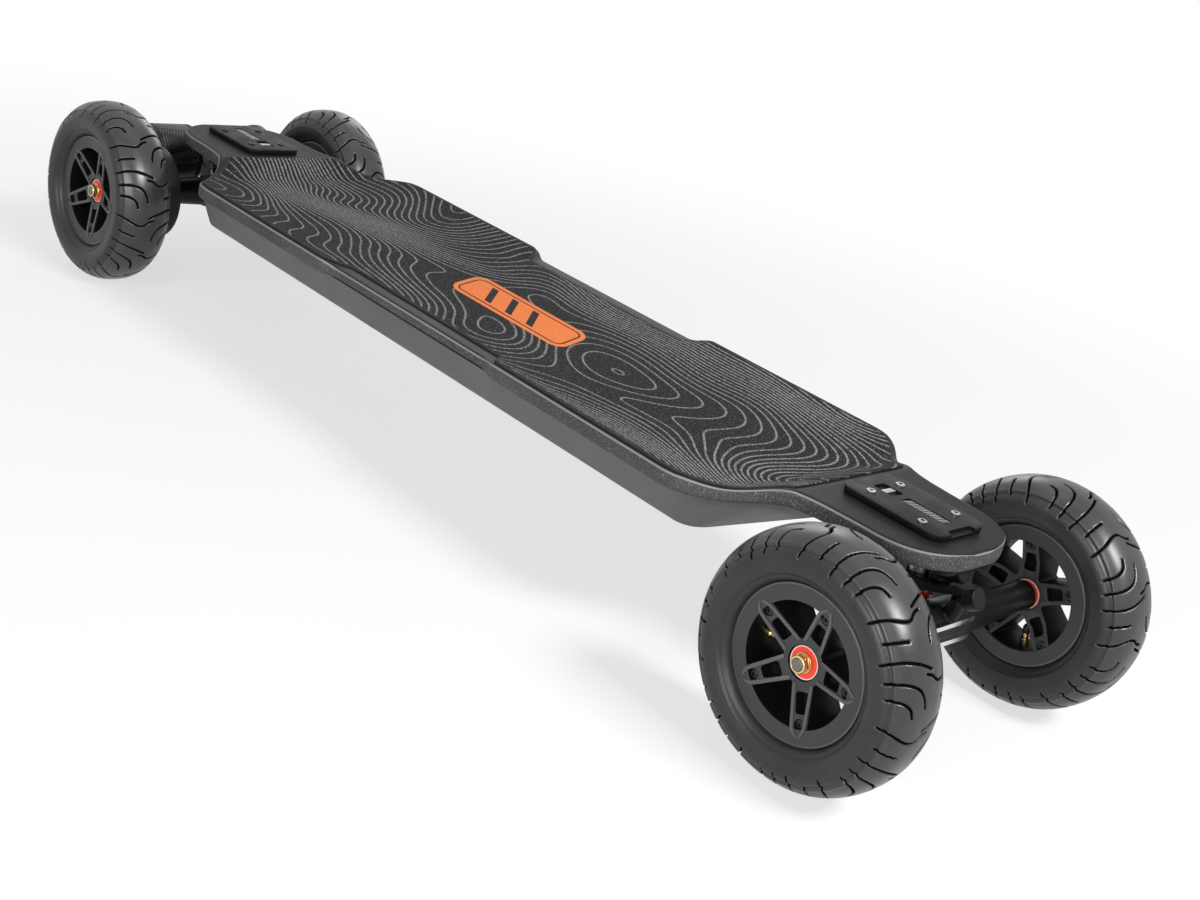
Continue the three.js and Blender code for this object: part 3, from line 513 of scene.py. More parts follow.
def spread(tree, level, low, high):
    # a noise as a value between two others
    start, end = noiseRange
    inputs = {"Value": level, "From Min": start, "From Max": end, "To Min": low, "To Max": high}
    return addNode(tree, "MapRange", inputs).outputs["Result"]


def stepped(tree, value, low, high):
    # 0 below a range, 1 above it and a soft step within
    inputs = {"Value": value, "From Min": low, "From Max": high}
    return addNode(tree, "MapRange", inputs, interpolation_type="SMOOTHSTEP").outputs["Result"]


def awayFrom(tree, value, middle):
    return calc(tree, "ABSOLUTE", calc(tree, "SUBTRACT", value, middle))


def lengthOf(tree, x, y):
    return calc(tree, "SQRT", calc(tree, "MULTIPLY_ADD", x, x, calc(tree, "MULTIPLY", y, y)))


def attribute(tree, name):
    return addNode(tree, "Attribute", attribute_name=name).outputs["Fac"]


def blended(tree, share, first, second):
    node = addNode(tree, "Mix", {0: share}, data_type="RGBA")
    for i, value in ((6, first), (7, second)):
        if isinstance(value, bpy.types.NodeSocket):
            tree.links.new(value, node.inputs[i])
        else:
            node.inputs[i].default_value = (*value, 1)
    return node.outputs[2]


def setShader(tree, shader, **values):
    for key, value in values.items():
        socket = shader.inputs[shaderSockets[key]]
        if isinstance(value, bpy.types.NodeSocket):
            tree.links.new(value, socket)
        elif isinstance(value, tuple):
            socket.default_value = (*value, 1)
        else:
            socket.default_value = value


def bumped(tree, height, strength, distance):
    inputs = {"Height": height, "Strength": strength, "Distance": distance * mm}
    return addNode(tree, "Bump", inputs).outputs[0]


# linear colour, contrast of its patches, roughness and its range, metal, specular,
# grain size in mm, grain depth in mm, coat
finishValues = {
    "shell plastic": ((0.095, 0.0955, 0.0965), 0.14, 0.44, 0.08, 0.0, 0.2, 0.7, 0.05, 0.0),
    "black metal": ((0.006, 0.0062, 0.0066), 0.3, 0.4, 0.1, 0.0, 0.14, 0.6, 0.035, 0.0),
    "grey metal": ((0.05, 0.051, 0.053), 0.25, 0.45, 0.1, 0.3, 0.4, 0.6, 0.03, 0.0),
    "bright metal": ((0.62, 0.63, 0.65), 0.12, 0.24, 0.08, 1.0, 0.5, 0.5, 0.015, 0.0),
    "steel": ((0.42, 0.43, 0.45), 0.2, 0.32, 0.12, 1.0, 0.5, 0.4, 0.02, 0.0),
    "dull steel": ((0.16, 0.16, 0.13), 0.25, 0.42, 0.1, 0.8, 0.5, 0.4, 0.03, 0.0),
    "gold steel": ((0.66, 0.52, 0.27), 0.22, 0.26, 0.1, 1.0, 0.5, 0.4, 0.02, 0.0),
    "brass": ((0.62, 0.46, 0.16), 0.22, 0.26, 0.1, 1.0, 0.5, 0.4, 0.02, 0.0),
    "red rubber": ((0.5, 0.022, 0.012), 0.14, 0.2, 0.06, 0.0, 0.5, 0.8, 0.02, 0.4),
    "red seal": ((0.72, 0.055, 0.03), 0.16, 0.4, 0.08, 0.0, 0.3, 0.5, 0.02, 0.0),
    "pale ring": ((0.86, 0.58, 0.52), 0.1, 0.35, 0.08, 0.0, 0.5, 0.5, 0.02, 0.0),
    "rim black": ((0.034, 0.0345, 0.0355), 0.2, 0.42, 0.1, 0.0, 0.3, 0.7, 0.03, 0.0),
    # painted shade for the rim's inside and its pockets
    "rim painted shade": ((0.005, 0.005, 0.0052), 0.2, 0.5, 0.1, 0.0, 0.06, 0.7, 0.03, 0.0),
    # painted highlight for the rim's rib tops and the lip's edge
    "rim painted highlight": ((0.062, 0.0625, 0.064), 0.2, 0.36, 0.08, 0.0, 0.5, 0.7, 0.03, 0.0),
    "belt rubber": ((0.014, 0.014, 0.015), 0.25, 0.62, 0.1, 0.0, 0.25, 0.5, 0.06, 0.0),
    "cover plastic": ((0.01, 0.0102, 0.0108), 0.25, 0.45, 0.1, 0.0, 0.16, 0.5, 0.05, 0.0),
    "plate plastic": ((0.015, 0.0152, 0.0158), 0.3, 0.42, 0.1, 0.0, 0.06, 0.5, 0.04, 0.0),
    # near black painted shade for the plates' walls, their windows and the socket's hollow
    "painted recess shade": ((0.004, 0.004, 0.0045), 0.2, 0.5, 0.1, 0.0, 0.1, 0.5, 0.03, 0.0),
    "tube rubber": ((0.01, 0.01, 0.0105), 0.25, 0.6, 0.1, 0.0, 0.25, 0.5, 0.05, 0.0),
    "battery wrap": ((0.02, 0.07, 0.3), 0.2, 0.35, 0.1, 0.0, 0.5, 1.2, 0.12, 0.3),
    "controller case": ((0.05, 0.052, 0.056), 0.25, 0.4, 0.1, 0.7, 0.5, 0.5, 0.05, 0.0),
    "screw black": ((0.012, 0.012, 0.013), 0.3, 0.4, 0.1, 0.2, 0.4, 0.3, 0.02, 0.0),
}


# what the plain finishes share
plainValues = {
    "patchScale": 18.0,     # noise scales, per metre
    "wearScale": 55.0,
    "grainShare": 0.45,     # of the colour's noise
    "coatRough": 0.2,
    "bump": 0.5,
}


def plainFinish(name):
    colour, contrast, rough, roughRange, metal, specular, grain, depth, coat = finishValues[name]
    material, tree, shader, place = newFinish(name)
    patches = noise(tree, place, plainValues["patchScale"])
    grains = noise(tree, place, 1 / (grain * mm), 2)
    level = layered(tree, grains, patches, plainValues["grainShare"])
    paint = mottled(tree, level, tinted(colour, 1 - contrast), tinted(colour, 1 + contrast))
    wear = noise(tree, place, plainValues["wearScale"], 4)
    roughness = spread(tree, wear, rough - roughRange, rough + roughRange)
    setShader(tree, shader, colour=paint, rough=roughness, metal=metal, coat=coat, specular=specular,
              coatRough=plainValues["coatRough"], normal=bumped(tree, grains, plainValues["bump"], depth))
    return material


finishes = {name: plainFinish(name) for name in finishValues}


# Pressed composite: dark, with pale flecks in it; its sides are painted lighter than its top, as painted
# light, with a painted highlight along the edge between them
compositeValues = {
    "top": (0.006, 0.016, 0.034),   # dark and light patches and flecks
    # the sides' shades, lighter than the top's: painted light, as the sides catch more lamp light
    "side": (0.03, 0.08, 0.22),
    "bead": 0.2,                    # painted highlight along the rounded edge between the side and the top
    "fibreScale": 1500.0,           # noise scales, per metre
    "patchScale": 14.0,
    "fleckScale": 900.0,
    "fibreShare": 0.5,
    "flecks": (0.5, 0.8),           # where flecks start and where they are full
    "topTurn": (0.55, 0.9),         # the normal's rise from where the side ends to where the top starts
    # the normal's rise over which the painted highlight fades in, and over which it fades out
    "beadTurns": ((0.3, 0.5), (0.7, 0.85)),
    "rough": 0.46,
    "specular": 0.07,
    "bump": (0.3, 0.08),
}


def compositeFinish(values):
    material, tree, shader, place = newFinish("deck composite")
    fibres = noise(tree, place, values["fibreScale"], 2)
    patches = noise(tree, place, values["patchScale"])
    flecks = noise(tree, place, values["fleckScale"], 2, 0.7)
    level = layered(tree, fibres, patches, values["fibreShare"])
    paints = []
    for dark, light, fleck in (values["side"], values["top"]):
        paint = mottled(tree, level, dark, light)
        paints.append(blended(tree, stepped(tree, flecks, *values["flecks"]), paint, grey(fleck)))
    # painted light: the top takes the darker shades and the sides the lighter ones, by the rise of each
    # face's normal
    normal = addNode(tree, "NewGeometry").outputs["Normal"]
    rise = addNode(tree, "SeparateXYZ", {0: normal}).outputs["Z"]
    paint = blended(tree, stepped(tree, rise, *values["topTurn"]), *paints)
    # a painted highlight where the rounded edge turns from the side to the top
    started, ended = (stepped(tree, rise, *turn) for turn in values["beadTurns"])
    paint = blended(tree, calc(tree, "SUBTRACT", started, ended), paint, grey(values["bead"]))
    setShader(tree, shader, colour=paint, rough=values["rough"], specular=values["specular"],
              normal=bumped(tree, flecks, *values["bump"]))
    return material


# Grip sheet: grit with printed contour lines, a plain border and an orange badge
gripValues = {
    "gritScales": (1300.0, 620.0),  # fine and coarse noise, per metre
    "gritShare": 0.55,              # of the fine one
    "grit": ((0.42, 0.004), (0.56, 0.015), (0.7, 0.19)),
    "lineSpread": 104.0,            # contour lines per metre across the board, before the hills
    "hillHeight": 44.0,             # lines up a hill
    "hillScale": (4.2, 6.2),
    "hillDetail": 0.6,
    "hillTwist": 0.35,
    "lineWidth": 0.8,               # half of it, mm
    "lineFade": (0.6, 1.5),         # shares of it from where a line fades to where it ends
    "lineColour": 0.27,
    "lineGrit": (0.38, 0.56),       # grit levels at which a line's paint starts and is full
    "border": 3.5,                  # plain border, mm
    "borderFade": 0.7,
    "borderShades": ((0.4, 0.02), (0.7, 0.05)),
    "badgePlace": (12.0, -8.0),
    "badgeReach": (70.0, 25.0),
    "badgeLean": 0.35,              # mm along the board for each mm across it
    "badgeCorner": 14.0,
    "badgeLine": (5.78, 0.9),       # the dark line in it: depth from the edge and half width
    "badgeInside": 10.2,            # depth from which the bars show
    "badgeBars": (-34.0, -8.0, 18.0),
    "barWidth": 8.0,
    "barLean": 0.5,
    "badgeColour": (0.78, 0.216, 0.064),
    "badgeShades": (0.75, 1.15),
    "badgeDark": (0.02, 0.018, 0.018),
    "rough": 0.85,
    "specular": 0.12,
    "bump": (0.6, 0.25),
}


def contourField(tree, place, values, shift):
    # the height that the contour lines follow, beside the place by the shift
    spot = addNode(tree, "VectorMath", {0: place, 1: shift}, operation="ADD").outputs[0]
    scale = (*values["hillScale"], 0.0)
    stretched = addNode(tree, "VectorMath", {0: spot, 1: scale}, operation="MULTIPLY").outputs[0]
    inputs = {"Vector": stretched, "Scale": 1.0, "Detail": values["hillDetail"],
              "Distortion": values["hillTwist"]}
    hills = addNode(tree, "TexNoise", inputs).outputs["Fac"]
    across = addNode(tree, "SeparateXYZ", {0: spot}).outputs["Y"]
    slope = calc(tree, "MULTIPLY", across, values["lineSpread"])
    return calc(tree, "MULTIPLY_ADD", hills, values["hillHeight"], slope)


def contourLines(tree, place, values):
    # the field's slope keeps the lines at one width
    nudge = 0.5 * mm
    shifts = ((0, 0, 0), (nudge, 0, 0), (0, nudge, 0))
    level, ahead, beside = (contourField(tree, place, values, shift) for shift in shifts)
    slopes = [calc(tree, "SUBTRACT", other, level) for other in (ahead, beside)]
    nearness = awayFrom(tree, calc(tree, "FRACT", level), 0.5)
    nudges = calc(tree, "DIVIDE", nearness, lengthOf(tree, *slopes))
    distance = calc(tree, "MULTIPLY", nudges, nudge / mm)
    start, end = (values["lineWidth"] * share for share in values["lineFade"])
    return calc(tree, "SUBTRACT", 1.0, stepped(tree, distance, start, end))


def badgePlaces(tree, place, values):
    # the depth inside the badge, and the place along and across it, in millimetres
    axes = addNode(tree, "SeparateXYZ", {0: place}).outputs
    lengthwise, across = (
        calc(tree, "MULTIPLY", calc(tree, "SUBTRACT", axes[i], values["badgePlace"][i] * mm), 1 / mm)
        for i in (0, 1)
    )
    lengthwise = calc(tree, "MULTIPLY_ADD", across, values["badgeLean"], lengthwise)
    corner = values["badgeCorner"]
    past = []
    for axis, reach in zip((lengthwise, across), values["badgeReach"]):
        beyond = calc(tree, "SUBTRACT", calc(tree, "ABSOLUTE", axis), reach - corner)
        past.append(calc(tree, "MAXIMUM", beyond, 0.0))
    return calc(tree, "SUBTRACT", corner, lengthOf(tree, *past)), lengthwise, across


def badgePaint(tree, level, depth, lengthwise, across, values):
    bars = 0.0
    for spot in values["badgeBars"]:
        leaning = calc(tree, "MULTIPLY_ADD", across, values["barLean"], lengthwise)
        stripe = calc(tree, "LESS_THAN", awayFrom(tree, leaning, spot), values["barWidth"] / 2)
        bars = calc(tree, "MAXIMUM", bars, stripe)
    inner = calc(tree, "GREATER_THAN", depth, values["badgeInside"])
    lineDepth, lineHalf = values["badgeLine"]
    line = calc(tree, "LESS_THAN", awayFrom(tree, depth, lineDepth), lineHalf)
    dark = calc(tree, "MAXIMUM", line, calc(tree, "MULTIPLY", inner, bars))
    shadow, light = (tinted(values["badgeColour"], factor) for factor in values["badgeShades"])
    return blended(tree, dark, mottled(tree, level, shadow, light), values["badgeDark"])


def gripFinish(values):
    material, tree, shader, place = newFinish("grit sheet")
    fine = noise(tree, place, values["gritScales"][0], 2, 0.7)
    coarse = noise(tree, place, values["gritScales"][1], 2)
    level = layered(tree, fine, coarse, values["gritShare"])
    paint = shades(tree, level, values["grit"])
    gritty = stepped(tree, level, *values["lineGrit"])
    lineShare = calc(tree, "MULTIPLY", contourLines(tree, place, values), gritty)
    paint = blended(tree, lineShare, paint, grey(values["lineColour"]))
    depth, lengthwise, across = badgePlaces(tree, place, values)
    badge = badgePaint(tree, level, depth, lengthwise, across, values)
    paint = blended(tree, calc(tree, "GREATER_THAN", depth, 0.0), paint, badge)
    start, end = values["border"] - values["borderFade"], values["border"] + values["borderFade"]
    inside = stepped(tree, attribute(tree, "edgeDistance"), start, end)
    paint = blended(tree, inside, shades(tree, level, values["borderShades"]), paint)
    setShader(tree, shader, colour=paint, rough=values["rough"], specular=values["specular"],
              normal=bumped(tree, level, *values["bump"]))
    return material


# Tyre: dull rubber, with painted shade down in its grooves, and glossier on the tread
tyreFinishValues = {
    "dark": 0.011,
    "light": 0.028,
    "patchScale": 30.0,         # noise scales, per metre
    "grainScale": 1400.0,
    "patchShare": 0.6,
    "groove": (0.5, 1.0),       # mm from a groove's middle, its floor's end and its edge
    # near black painted shade on the grooves' floors
    "paintedGrooveShade": 0.004,
    "rough": (0.34, 0.46),
    "treadSmoother": 0.06,      # off the roughness
    "wallSpecular": 0.33,
    "treadSpecular": 0.58,
    "grainHeight": 0.05,
    "bump": (0.9, 1.0),
}


def tyreFinish(values):
    material, tree, shader, place = newFinish("tyre rubber")
    patches = noise(tree, place, values["patchScale"], 4)
    grains = noise(tree, place, values["grainScale"], 2)
    level = layered(tree, patches, grains, values["patchShare"])
    paint = mottled(tree, level, values["dark"], values["light"])
    top = stepped(tree, attribute(tree, "grooveDistance"), *values["groove"])
    # painted shade: the grooves' floors take the near black colour
    paint = blended(tree, top, grey(values["paintedGrooveShade"]), paint)
    tread = attribute(tree, "treadShare")
    wall, more = values["wallSpecular"], values["treadSpecular"] - values["wallSpecular"]
    gloss = calc(tree, "MULTIPLY_ADD", tread, more, wall)
    smoother = calc(tree, "MULTIPLY", tread, values["treadSmoother"])
    rough = calc(tree, "SUBTRACT", spread(tree, patches, *values["rough"]), smoother)
    height = calc(tree, "MULTIPLY_ADD", level, values["grainHeight"], top)
    setShader(tree, shader, colour=paint, rough=rough, specular=calc(tree, "MULTIPLY", top, gloss),
              normal=bumped(tree, height, *values["bump"]))
    return material


# Motor can: dark metal with a printed pattern of short slanting dashes
motorFinishValues = {
    "rows": 2.4,            # mm from row to row
    "rowShift": 0.37,       # share of a dash that each row is moved on
    "dash": 4.4,            # mm from dash to dash
    "dashShare": 0.62,
    "dashHalf": 0.12,       # half of a dash's height, share of a row
    "slant": 38.0,
    "dark": 0.008,
    "light": 0.014,
    "lineColour": 0.11,
    "grainScale": 1600.0,
    "rough": 0.42,
    "metal": 0.1,
    "specular": 0.3,
    "bump": (0.3, 0.08),
}


def motorCanFinish(values):
    material, tree, shader, place = newFinish("motor can")
    slant = math.radians(values["slant"])
    tilted = addNode(tree, "Mapping", {"Vector": place, "Rotation": (0, slant, slant)}).outputs[0]
    axes = addNode(tree, "SeparateXYZ", {0: tilted}).outputs
    row = calc(tree, "MULTIPLY", axes["Y"], 1 / (values["rows"] * mm))
    step = calc(tree, "MULTIPLY", axes["X"], 1 / (values["dash"] * mm))
    step = calc(tree, "MULTIPLY_ADD", calc(tree, "FLOOR", row), values["rowShift"], step)
    line = calc(tree, "LESS_THAN", awayFrom(tree, calc(tree, "FRACT", row), 0.5), values["dashHalf"])
    dash = calc(tree, "LESS_THAN", calc(tree, "FRACT", step), values["dashShare"])
    share = calc(tree, "MULTIPLY", line, dash)
    paint = mottled(tree, noise(tree, place, values["grainScale"], 2), values["dark"], values["light"])
    paint = blended(tree, share, paint, grey(values["lineColour"]))
    setShader(tree, shader, colour=paint, rough=values["rough"], metal=values["metal"],
              specular=values["specular"], normal=bumped(tree, share, *values["bump"]))
    return material


finishes["composite"] = compositeFinish(compositeValues)
finishes["grip"] = gripFinish(gripValues)
finishes["tyre"] = tyreFinish(tyreFinishValues)
finishes["motor can"] = motorCanFinish(motorFinishValues)
print("finishes ready")


# Deck board, grip sheet and lower shell
deckValues = {
    "lobeHalfWidth": 119.0,
    "waistHalfWidth": 111.5,
    "waist": (92.0, 114.0),          # where the waist starts to widen and where the lobes begin
    "shoulder": (285.0, 412.0),
    "shoulderShares": ((0, 0), (0.094, 0.024), (0.181, 0.13), (0.252, 0.268), (0.315, 0.423), (0.37, 0.561),
                       (0.433, 0.699), (0.512, 0.813), (0.591, 0.898), (0.7, 0.955), (0.811, 0.979), (1, 1)),
    "neckHalfWidth": 57.5,
    "tipRoundness": 2.3,
    "tipFlatShare": 0.995,
    "rise": (318.0, 358.0),
    "middle": (131.006, 144.006),    # top at the middle line, of the platform and of the necks
    "under": (124.506, 132.006),
    "pressed": (2.4, 6.0),           # rise of the edges over the middle line, in the waist and the lobes
    "concaveShares": ((0, 0), (0.35, 0), (0.6, 0.16), (0.85, 0.62), (1, 1)),
    "edge": 3.0,
    "tipDrop": 0.8,                  # share of the edge by which both faces close at the tip
    "stationSteps": ((84.0, 6.0), (121.0, 3.0), (276.0, 6.0), (math.inf, 3.0)),  # up to a place, and the step
    "tipSteps": 26,
    "sectionSteps": (16, 5, 4, 6),   # across the top, round the upper and lower edge, below
    "gripMargins": (15.0, 3.0, 8.0),  # waist, lobes, necks
    "gripHalfLength": 352.0,
    "gripThickness": 1.2,
    "gripEdge": 0.6,
    "gripSteps": 60,
    "gap": 0.3,
}


def smoothStep(low, high, value):
    t = min(1.0, max(0.0, (value - low) / (high - low)))
    return t * t * (3 - 2 * t)


def lerp(first, second, share):
    return first + (second - first) * share


def smoothTable(table, at):
    # a smooth rising curve through the rows of a table
    places = [row[0] for row in table]
    values = [row[1] for row in table]
    at = min(max(at, places[0]), places[-1])
    slopes = [(values[i + 1] - values[i]) / (places[i + 1] - places[i]) for i in range(len(table) - 1)]

    def tangent(i):
        if i in (0, len(table) - 1):
            return 0.0
        before, after = slopes[i - 1], slopes[i]
        return 0.0 if before * after <= 0 else 2 * before * after / (before + after)

    i = max(k for k in range(len(table) - 1) if places[k] <= at)
    step = places[i + 1] - places[i]
    t = (at - places[i]) / step
    return (values[i] * (1 + 2 * t) * (1 - t) ** 2 + tangent(i) * step * t * (1 - t) ** 2
            + values[i + 1] * t * t * (3 - 2 * t) + tangent(i + 1) * step * t * t * (t - 1))


deckReach = boxOf("deck_board")[1].x


def deckHalfWidth(x):
    v, x = deckValues, abs(x)
    start, end = v["shoulder"]
    if x > end:
        share = v["tipFlatShare"] * (x - end) / (deckReach - end)
        return v["neckHalfWidth"] * max(0.0, 1 - share ** v["tipRoundness"]) ** (1 / v["tipRoundness"])
    platform = lerp(v["waistHalfWidth"], v["lobeHalfWidth"], smoothStep(*v["waist"], x))
    return lerp(platform, v["neckHalfWidth"], smoothTable(v["shoulderShares"], (x - start) / (end - start)))


def deckUnder(x):
    return lerp(*deckValues["under"], smoothStep(*deckValues["rise"], abs(x)))


def deckTop(x, y):
    v = deckValues
    pressed = lerp(*v["pressed"], smoothStep(*v["waist"], abs(x)))
    middle = lerp(*v["middle"], smoothStep(*v["rise"], abs(x)))
    return middle + pressed * smoothTable(v["concaveShares"], abs(y) / v["lobeHalfWidth"])


def deckStations(reach):
    # places along the board, closer together where its outline turns
    v = deckValues
    row = [0.0]
    last = min(reach, v["shoulder"][1])
    while row[-1] < last:
        row.append(row[-1] + next(step for end, step in v["stationSteps"] if row[-1] < end))
    row[-1] = last
    if reach > last:
        count = v["tipSteps"]
        row += [last + (reach - last) * math.sin(quarter * k / count) for k in range(1, count + 1)]
    return [-x for x in reversed(row[1:])] + row


def deckSection(x):
    v = deckValues
    edge = v["edge"]
    across, upper, lower, below = v["sectionSteps"]
    ending = min(1.0, max(0.0, (abs(x) - (deckReach - edge)) / edge))
    drop = edge * v["tipDrop"] * (1 - math.sqrt(max(0.0, 1 - ending * ending)))
    inside = deckHalfWidth(x) - edge
    under = deckUnder(x) + drop
    shoulder = deckTop(x, inside) - edge - drop
    half = [(inside * k / across, deckTop(x, inside * k / across) - drop) for k in range(across)]
    for k in range(upper + 1):
        angle = quarter * k / upper
        half.append((inside + edge * math.sin(angle), shoulder + edge * math.cos(angle)))
    for k in range(lower + 1):
        angle = quarter * k / lower
        half.append((inside + edge * math.cos(angle), under + edge - edge * math.sin(angle)))
    half += [(inside * (1 - k / below), under) for k in range(1, below)]
    return [Vector((x, y, z)) for y, z in half] + [Vector((x, -y, z)) for y, z in reversed(half[1:])]


def makeDeck():
    shape = lofted([deckSection(x) for x in deckStations(deckReach)])
    finishPiece("deckBoard", meshOf("deckBoard", [shape]), finishes["composite"], "deck",
                ["deck_board"], smooth=40)


def gripHalfWidth(x):
    v = deckValues
    waist, lobes, necks = v["gripMargins"]
    margin = lerp(waist, lobes, smoothStep(*v["waist"], abs(x)))
    start, end = v["shoulder"][0], v["rise"][1]
    return deckHalfWidth(x) - lerp(margin, necks, smoothStep(start, end, abs(x)))


def makeGrip():
    v = deckValues
    gap, thickness, edge, count = v["gap"], v["gripThickness"], v["gripEdge"], v["gripSteps"]
    rings = []
    for x in deckStations(v["gripHalfLength"]):
        width = gripHalfWidth(x)
        spots = [(-1 + 2 * k / count) * (width - edge) for k in range(count + 1)]
        top = [(y, deckTop(x, y) + gap + thickness) for y in spots]
        low = [(share * width, deckTop(x, share * width) + gap) for share in (1, 0.5, 0, -0.5, -1)]
        right = (width, deckTop(x, width) + gap + thickness - edge)
        left = (-width, right[1])
        rings.append([Vector((x, y, z)) for y, z in [*top, right, *low, left]])
    mesh = meshOf("gripSheet", [lofted(rings)])
    distances = mesh.attributes.new("edgeDistance", "FLOAT", "POINT")
    for i, vertex in enumerate(mesh.vertices):
        x, y = abs(vertex.co.x) / mm, abs(vertex.co.y) / mm
        distances.data[i].value = min(gripHalfWidth(x) - y, v["gripHalfLength"] - x + v["edge"] * 4)
    finishPiece("gripSheet", mesh, finishes["grip"], "deck", ["grip_sheet"], smooth=50)


shellValues = {
    "rimHalfWidth": 111.0,
    "setback": 5.0,          # of the shell from the deck's edge
    "floorEnds": (-303.0, 311.0),
    "floorHalfWidth": 104.0,
    "floorCorner": 14.0,
    "cornerSteps": 22,
    "wall": 3.0,
    "edgeRound": 5.0,
    "edgeSteps": 6,
    "seatHeight": 13.0,      # of the button and the socket over the floor
    "socketPlace": 30.0,     # along the board from the button
    "hole": (-8.0, 14.0),    # start on the way out through the wall, and length
    "holeRadius": {"button": 5.3, "socket": 6.5},
    "screws": 7,             # on each side
    "screwMargins": (16.0, 14.0),
    "screw": (2.6, 1.0, 0.8),  # radius, height, sunk by
}


def roundAll(corner):
    # one corner's points, mirrored to all four
    back = corner[::-1]
    flips = [(1, 1, back), (-1, 1, corner), (-1, -1, back), (1, -1, corner)]
    return [Vector((p[0] * fx, p[1] * fy, p[2])) for fx, fy, row in flips for p in row]


shellReach = boxOf("lower_shell")[1].x
shellFloor = boxOf("lower_shell")[0].z


def shellRim(inset):
    v = shellValues
    start = deckValues["shoulder"][0]
    row = []
    for k in range(v["cornerSteps"] + 1):
        x = min(lerp(start, shellReach, k / v["cornerSteps"]), shellReach - inset)
        y = min(v["rimHalfWidth"], deckHalfWidth(x) - v["setback"]) - inset
        row.append((x, y, deckUnder(x) - deckValues["gap"]))
    return roundAll(row)


def shellBase(inset, height):
    v = shellValues
    low, high = v["floorEnds"]
    corner = max(0.5, v["floorCorner"] - inset)
    centre = ((high - low) / 2 - inset - corner, v["floorHalfWidth"] - inset - corner)
    row = [(a, b, height) for a, b in arc(centre, corner, quarter, 0, v["cornerSteps"])]
    return [p + Vector(((high + low) / 2, 0, 0)) for p in roundAll(row)]


def sideSeat(x, distance):
    # a spot on the shell's sloping left side and the direction out of it
    v = shellValues
    depth = deckValues["under"][0] - deckValues["gap"] - shellFloor
    slope = (v["rimHalfWidth"] - v["floorHalfWidth"]) / depth
    out = Vector((0, 1, -slope)).normalized()
    height = shellFloor + v["seatHeight"]
    return Vector((x, v["floorHalfWidth"] + slope * (height - shellFloor), height)) + out * distance, out


def makeShell(buttonPlace, socketPlace):
    v = shellValues
    low, high = shellFloor, v["edgeRound"]
    rim, base, inner = shellRim(0), shellBase(0, low), shellBase(high, low)
    walls = [corner + (top - corner).normalized() * high for corner, top in zip(base, rim)]
    rings = [inner]
    for k in range(1, v["edgeSteps"]):
        share = k / v["edgeSteps"]
        rings.append([
            first.lerp(corner, share).lerp(corner.lerp(wall, share), share)
            for first, corner, wall in zip(inner, base, walls)
        ])
    rings += [walls, rim, shellRim(v["wall"]), shellBase(v["wall"], low + v["wall"])]
    start, length = v["hole"]
    holes = []
    for x, radius in ((buttonPlace, v["holeRadius"]["button"]), (socketPlace, v["holeRadius"]["socket"])):
        inside, out = sideSeat(x, start)
        holes.append(bar(radius, inside, inside + out * length, 40, 0.1))
    mesh = carved("lowerShell", lofted(rings), (), holes)
    finishPiece("lowerShell", mesh, finishes["shell plastic"], "deck", ["lower_shell"],
                smooth=30)


# turned profiles: radius and height over the shell's side
sideProfiles = {
    "cap": ((0, -6), (7, -6), (7, -4.2), (5, -4.2), (5, 2), (3.9, 2), (3.9, 1.4), (0, 1.4)),
    "ring": ((5.3, 0.3), (8.2, 0.3), (8.2, 1.1), (7.6, 1.5), (5.9, 1.5), (5.3, 1.0)),
    "barrel": ((4.6, -5), (6.2, -5), (6.2, 0.3), (9, 0.3), (9, 1.4), (4.9, 1.4), (4.6, 0.6)),
    "back": ((0, -5.6), (4.9, -5.6), (4.9, -4.8), (0, -4.8)),
    "pin": ((0, -5), (1.1, -5), (1.1, -0.4), (0, -0.4)),
}


def makePowerButton(place):
    seat = along(*sideSeat(place, 0))
    cap = turned(filleted(sideProfiles["cap"], 0.4), 48)
    finishPiece("powerButton", meshOf("powerButton", [cap]), finishes["bright metal"],
                "power_button", ["power_button"], inMetres(seat))
    ring = moved(turned(filleted(sideProfiles["ring"], 0.3, True), 48, True), seat)
    finishPiece("buttonRing", meshOf("buttonRing", [ring]), finishes["steel"], "deck")


def makeChargingSocket(place):
    seat = inMetres(along(*sideSeat(place, 0)))
    barrel = turned(filleted(sideProfiles["barrel"], 0.3, True), 48, True)
    back = turned(filleted(sideProfiles["back"], 0.2), 48)
    # the socket: black, darkened further in its hollow as painted shade
    finishPiece("chargingSocket", meshOf("chargingSocket", [barrel, back]), finishes["painted recess shade"],
                "deck", (), seat)
    pin = turned(filleted(sideProfiles["pin"], 0.3), 24)
    finishPiece("chargingPin", meshOf("chargingPin", [pin]), finishes["brass"], "deck", (), seat)


def makeShellScrews():
    v = shellValues
    low, high = v["floorEnds"]
    endMargin, sideMargin = v["screwMargins"]
    radius, height, sunk = v["screw"]
    shapes = []
    for k in range(v["screws"]):
        x = lerp(low + endMargin, high - endMargin, k / (v["screws"] - 1))
        for side in (1, -1):
            start = Vector((x, side * (v["floorHalfWidth"] - sideMargin), shellFloor + sunk))
            shapes.append(moved(boltShape(radius, height), along(start, (0, 0, -1))))
    finishPiece("shellScrews", meshOf("shellScrews", shapes), finishes["screw black"], "deck")


def makeDeckAndShell():
    buttonLow, buttonHigh = boxOf("power_button")
    buttonPlace = (buttonLow.x + buttonHigh.x) / 2
    socketPlace = buttonPlace + shellValues["socketPlace"]
    makeDeck()
    makeGrip()
    makeShell(buttonPlace, socketPlace)
    makePowerButton(buttonPlace)
    makeChargingSocket(socketPlace)
    makeShellScrews()


makeDeckAndShell()
print("deck, grip sheet and shell ready")


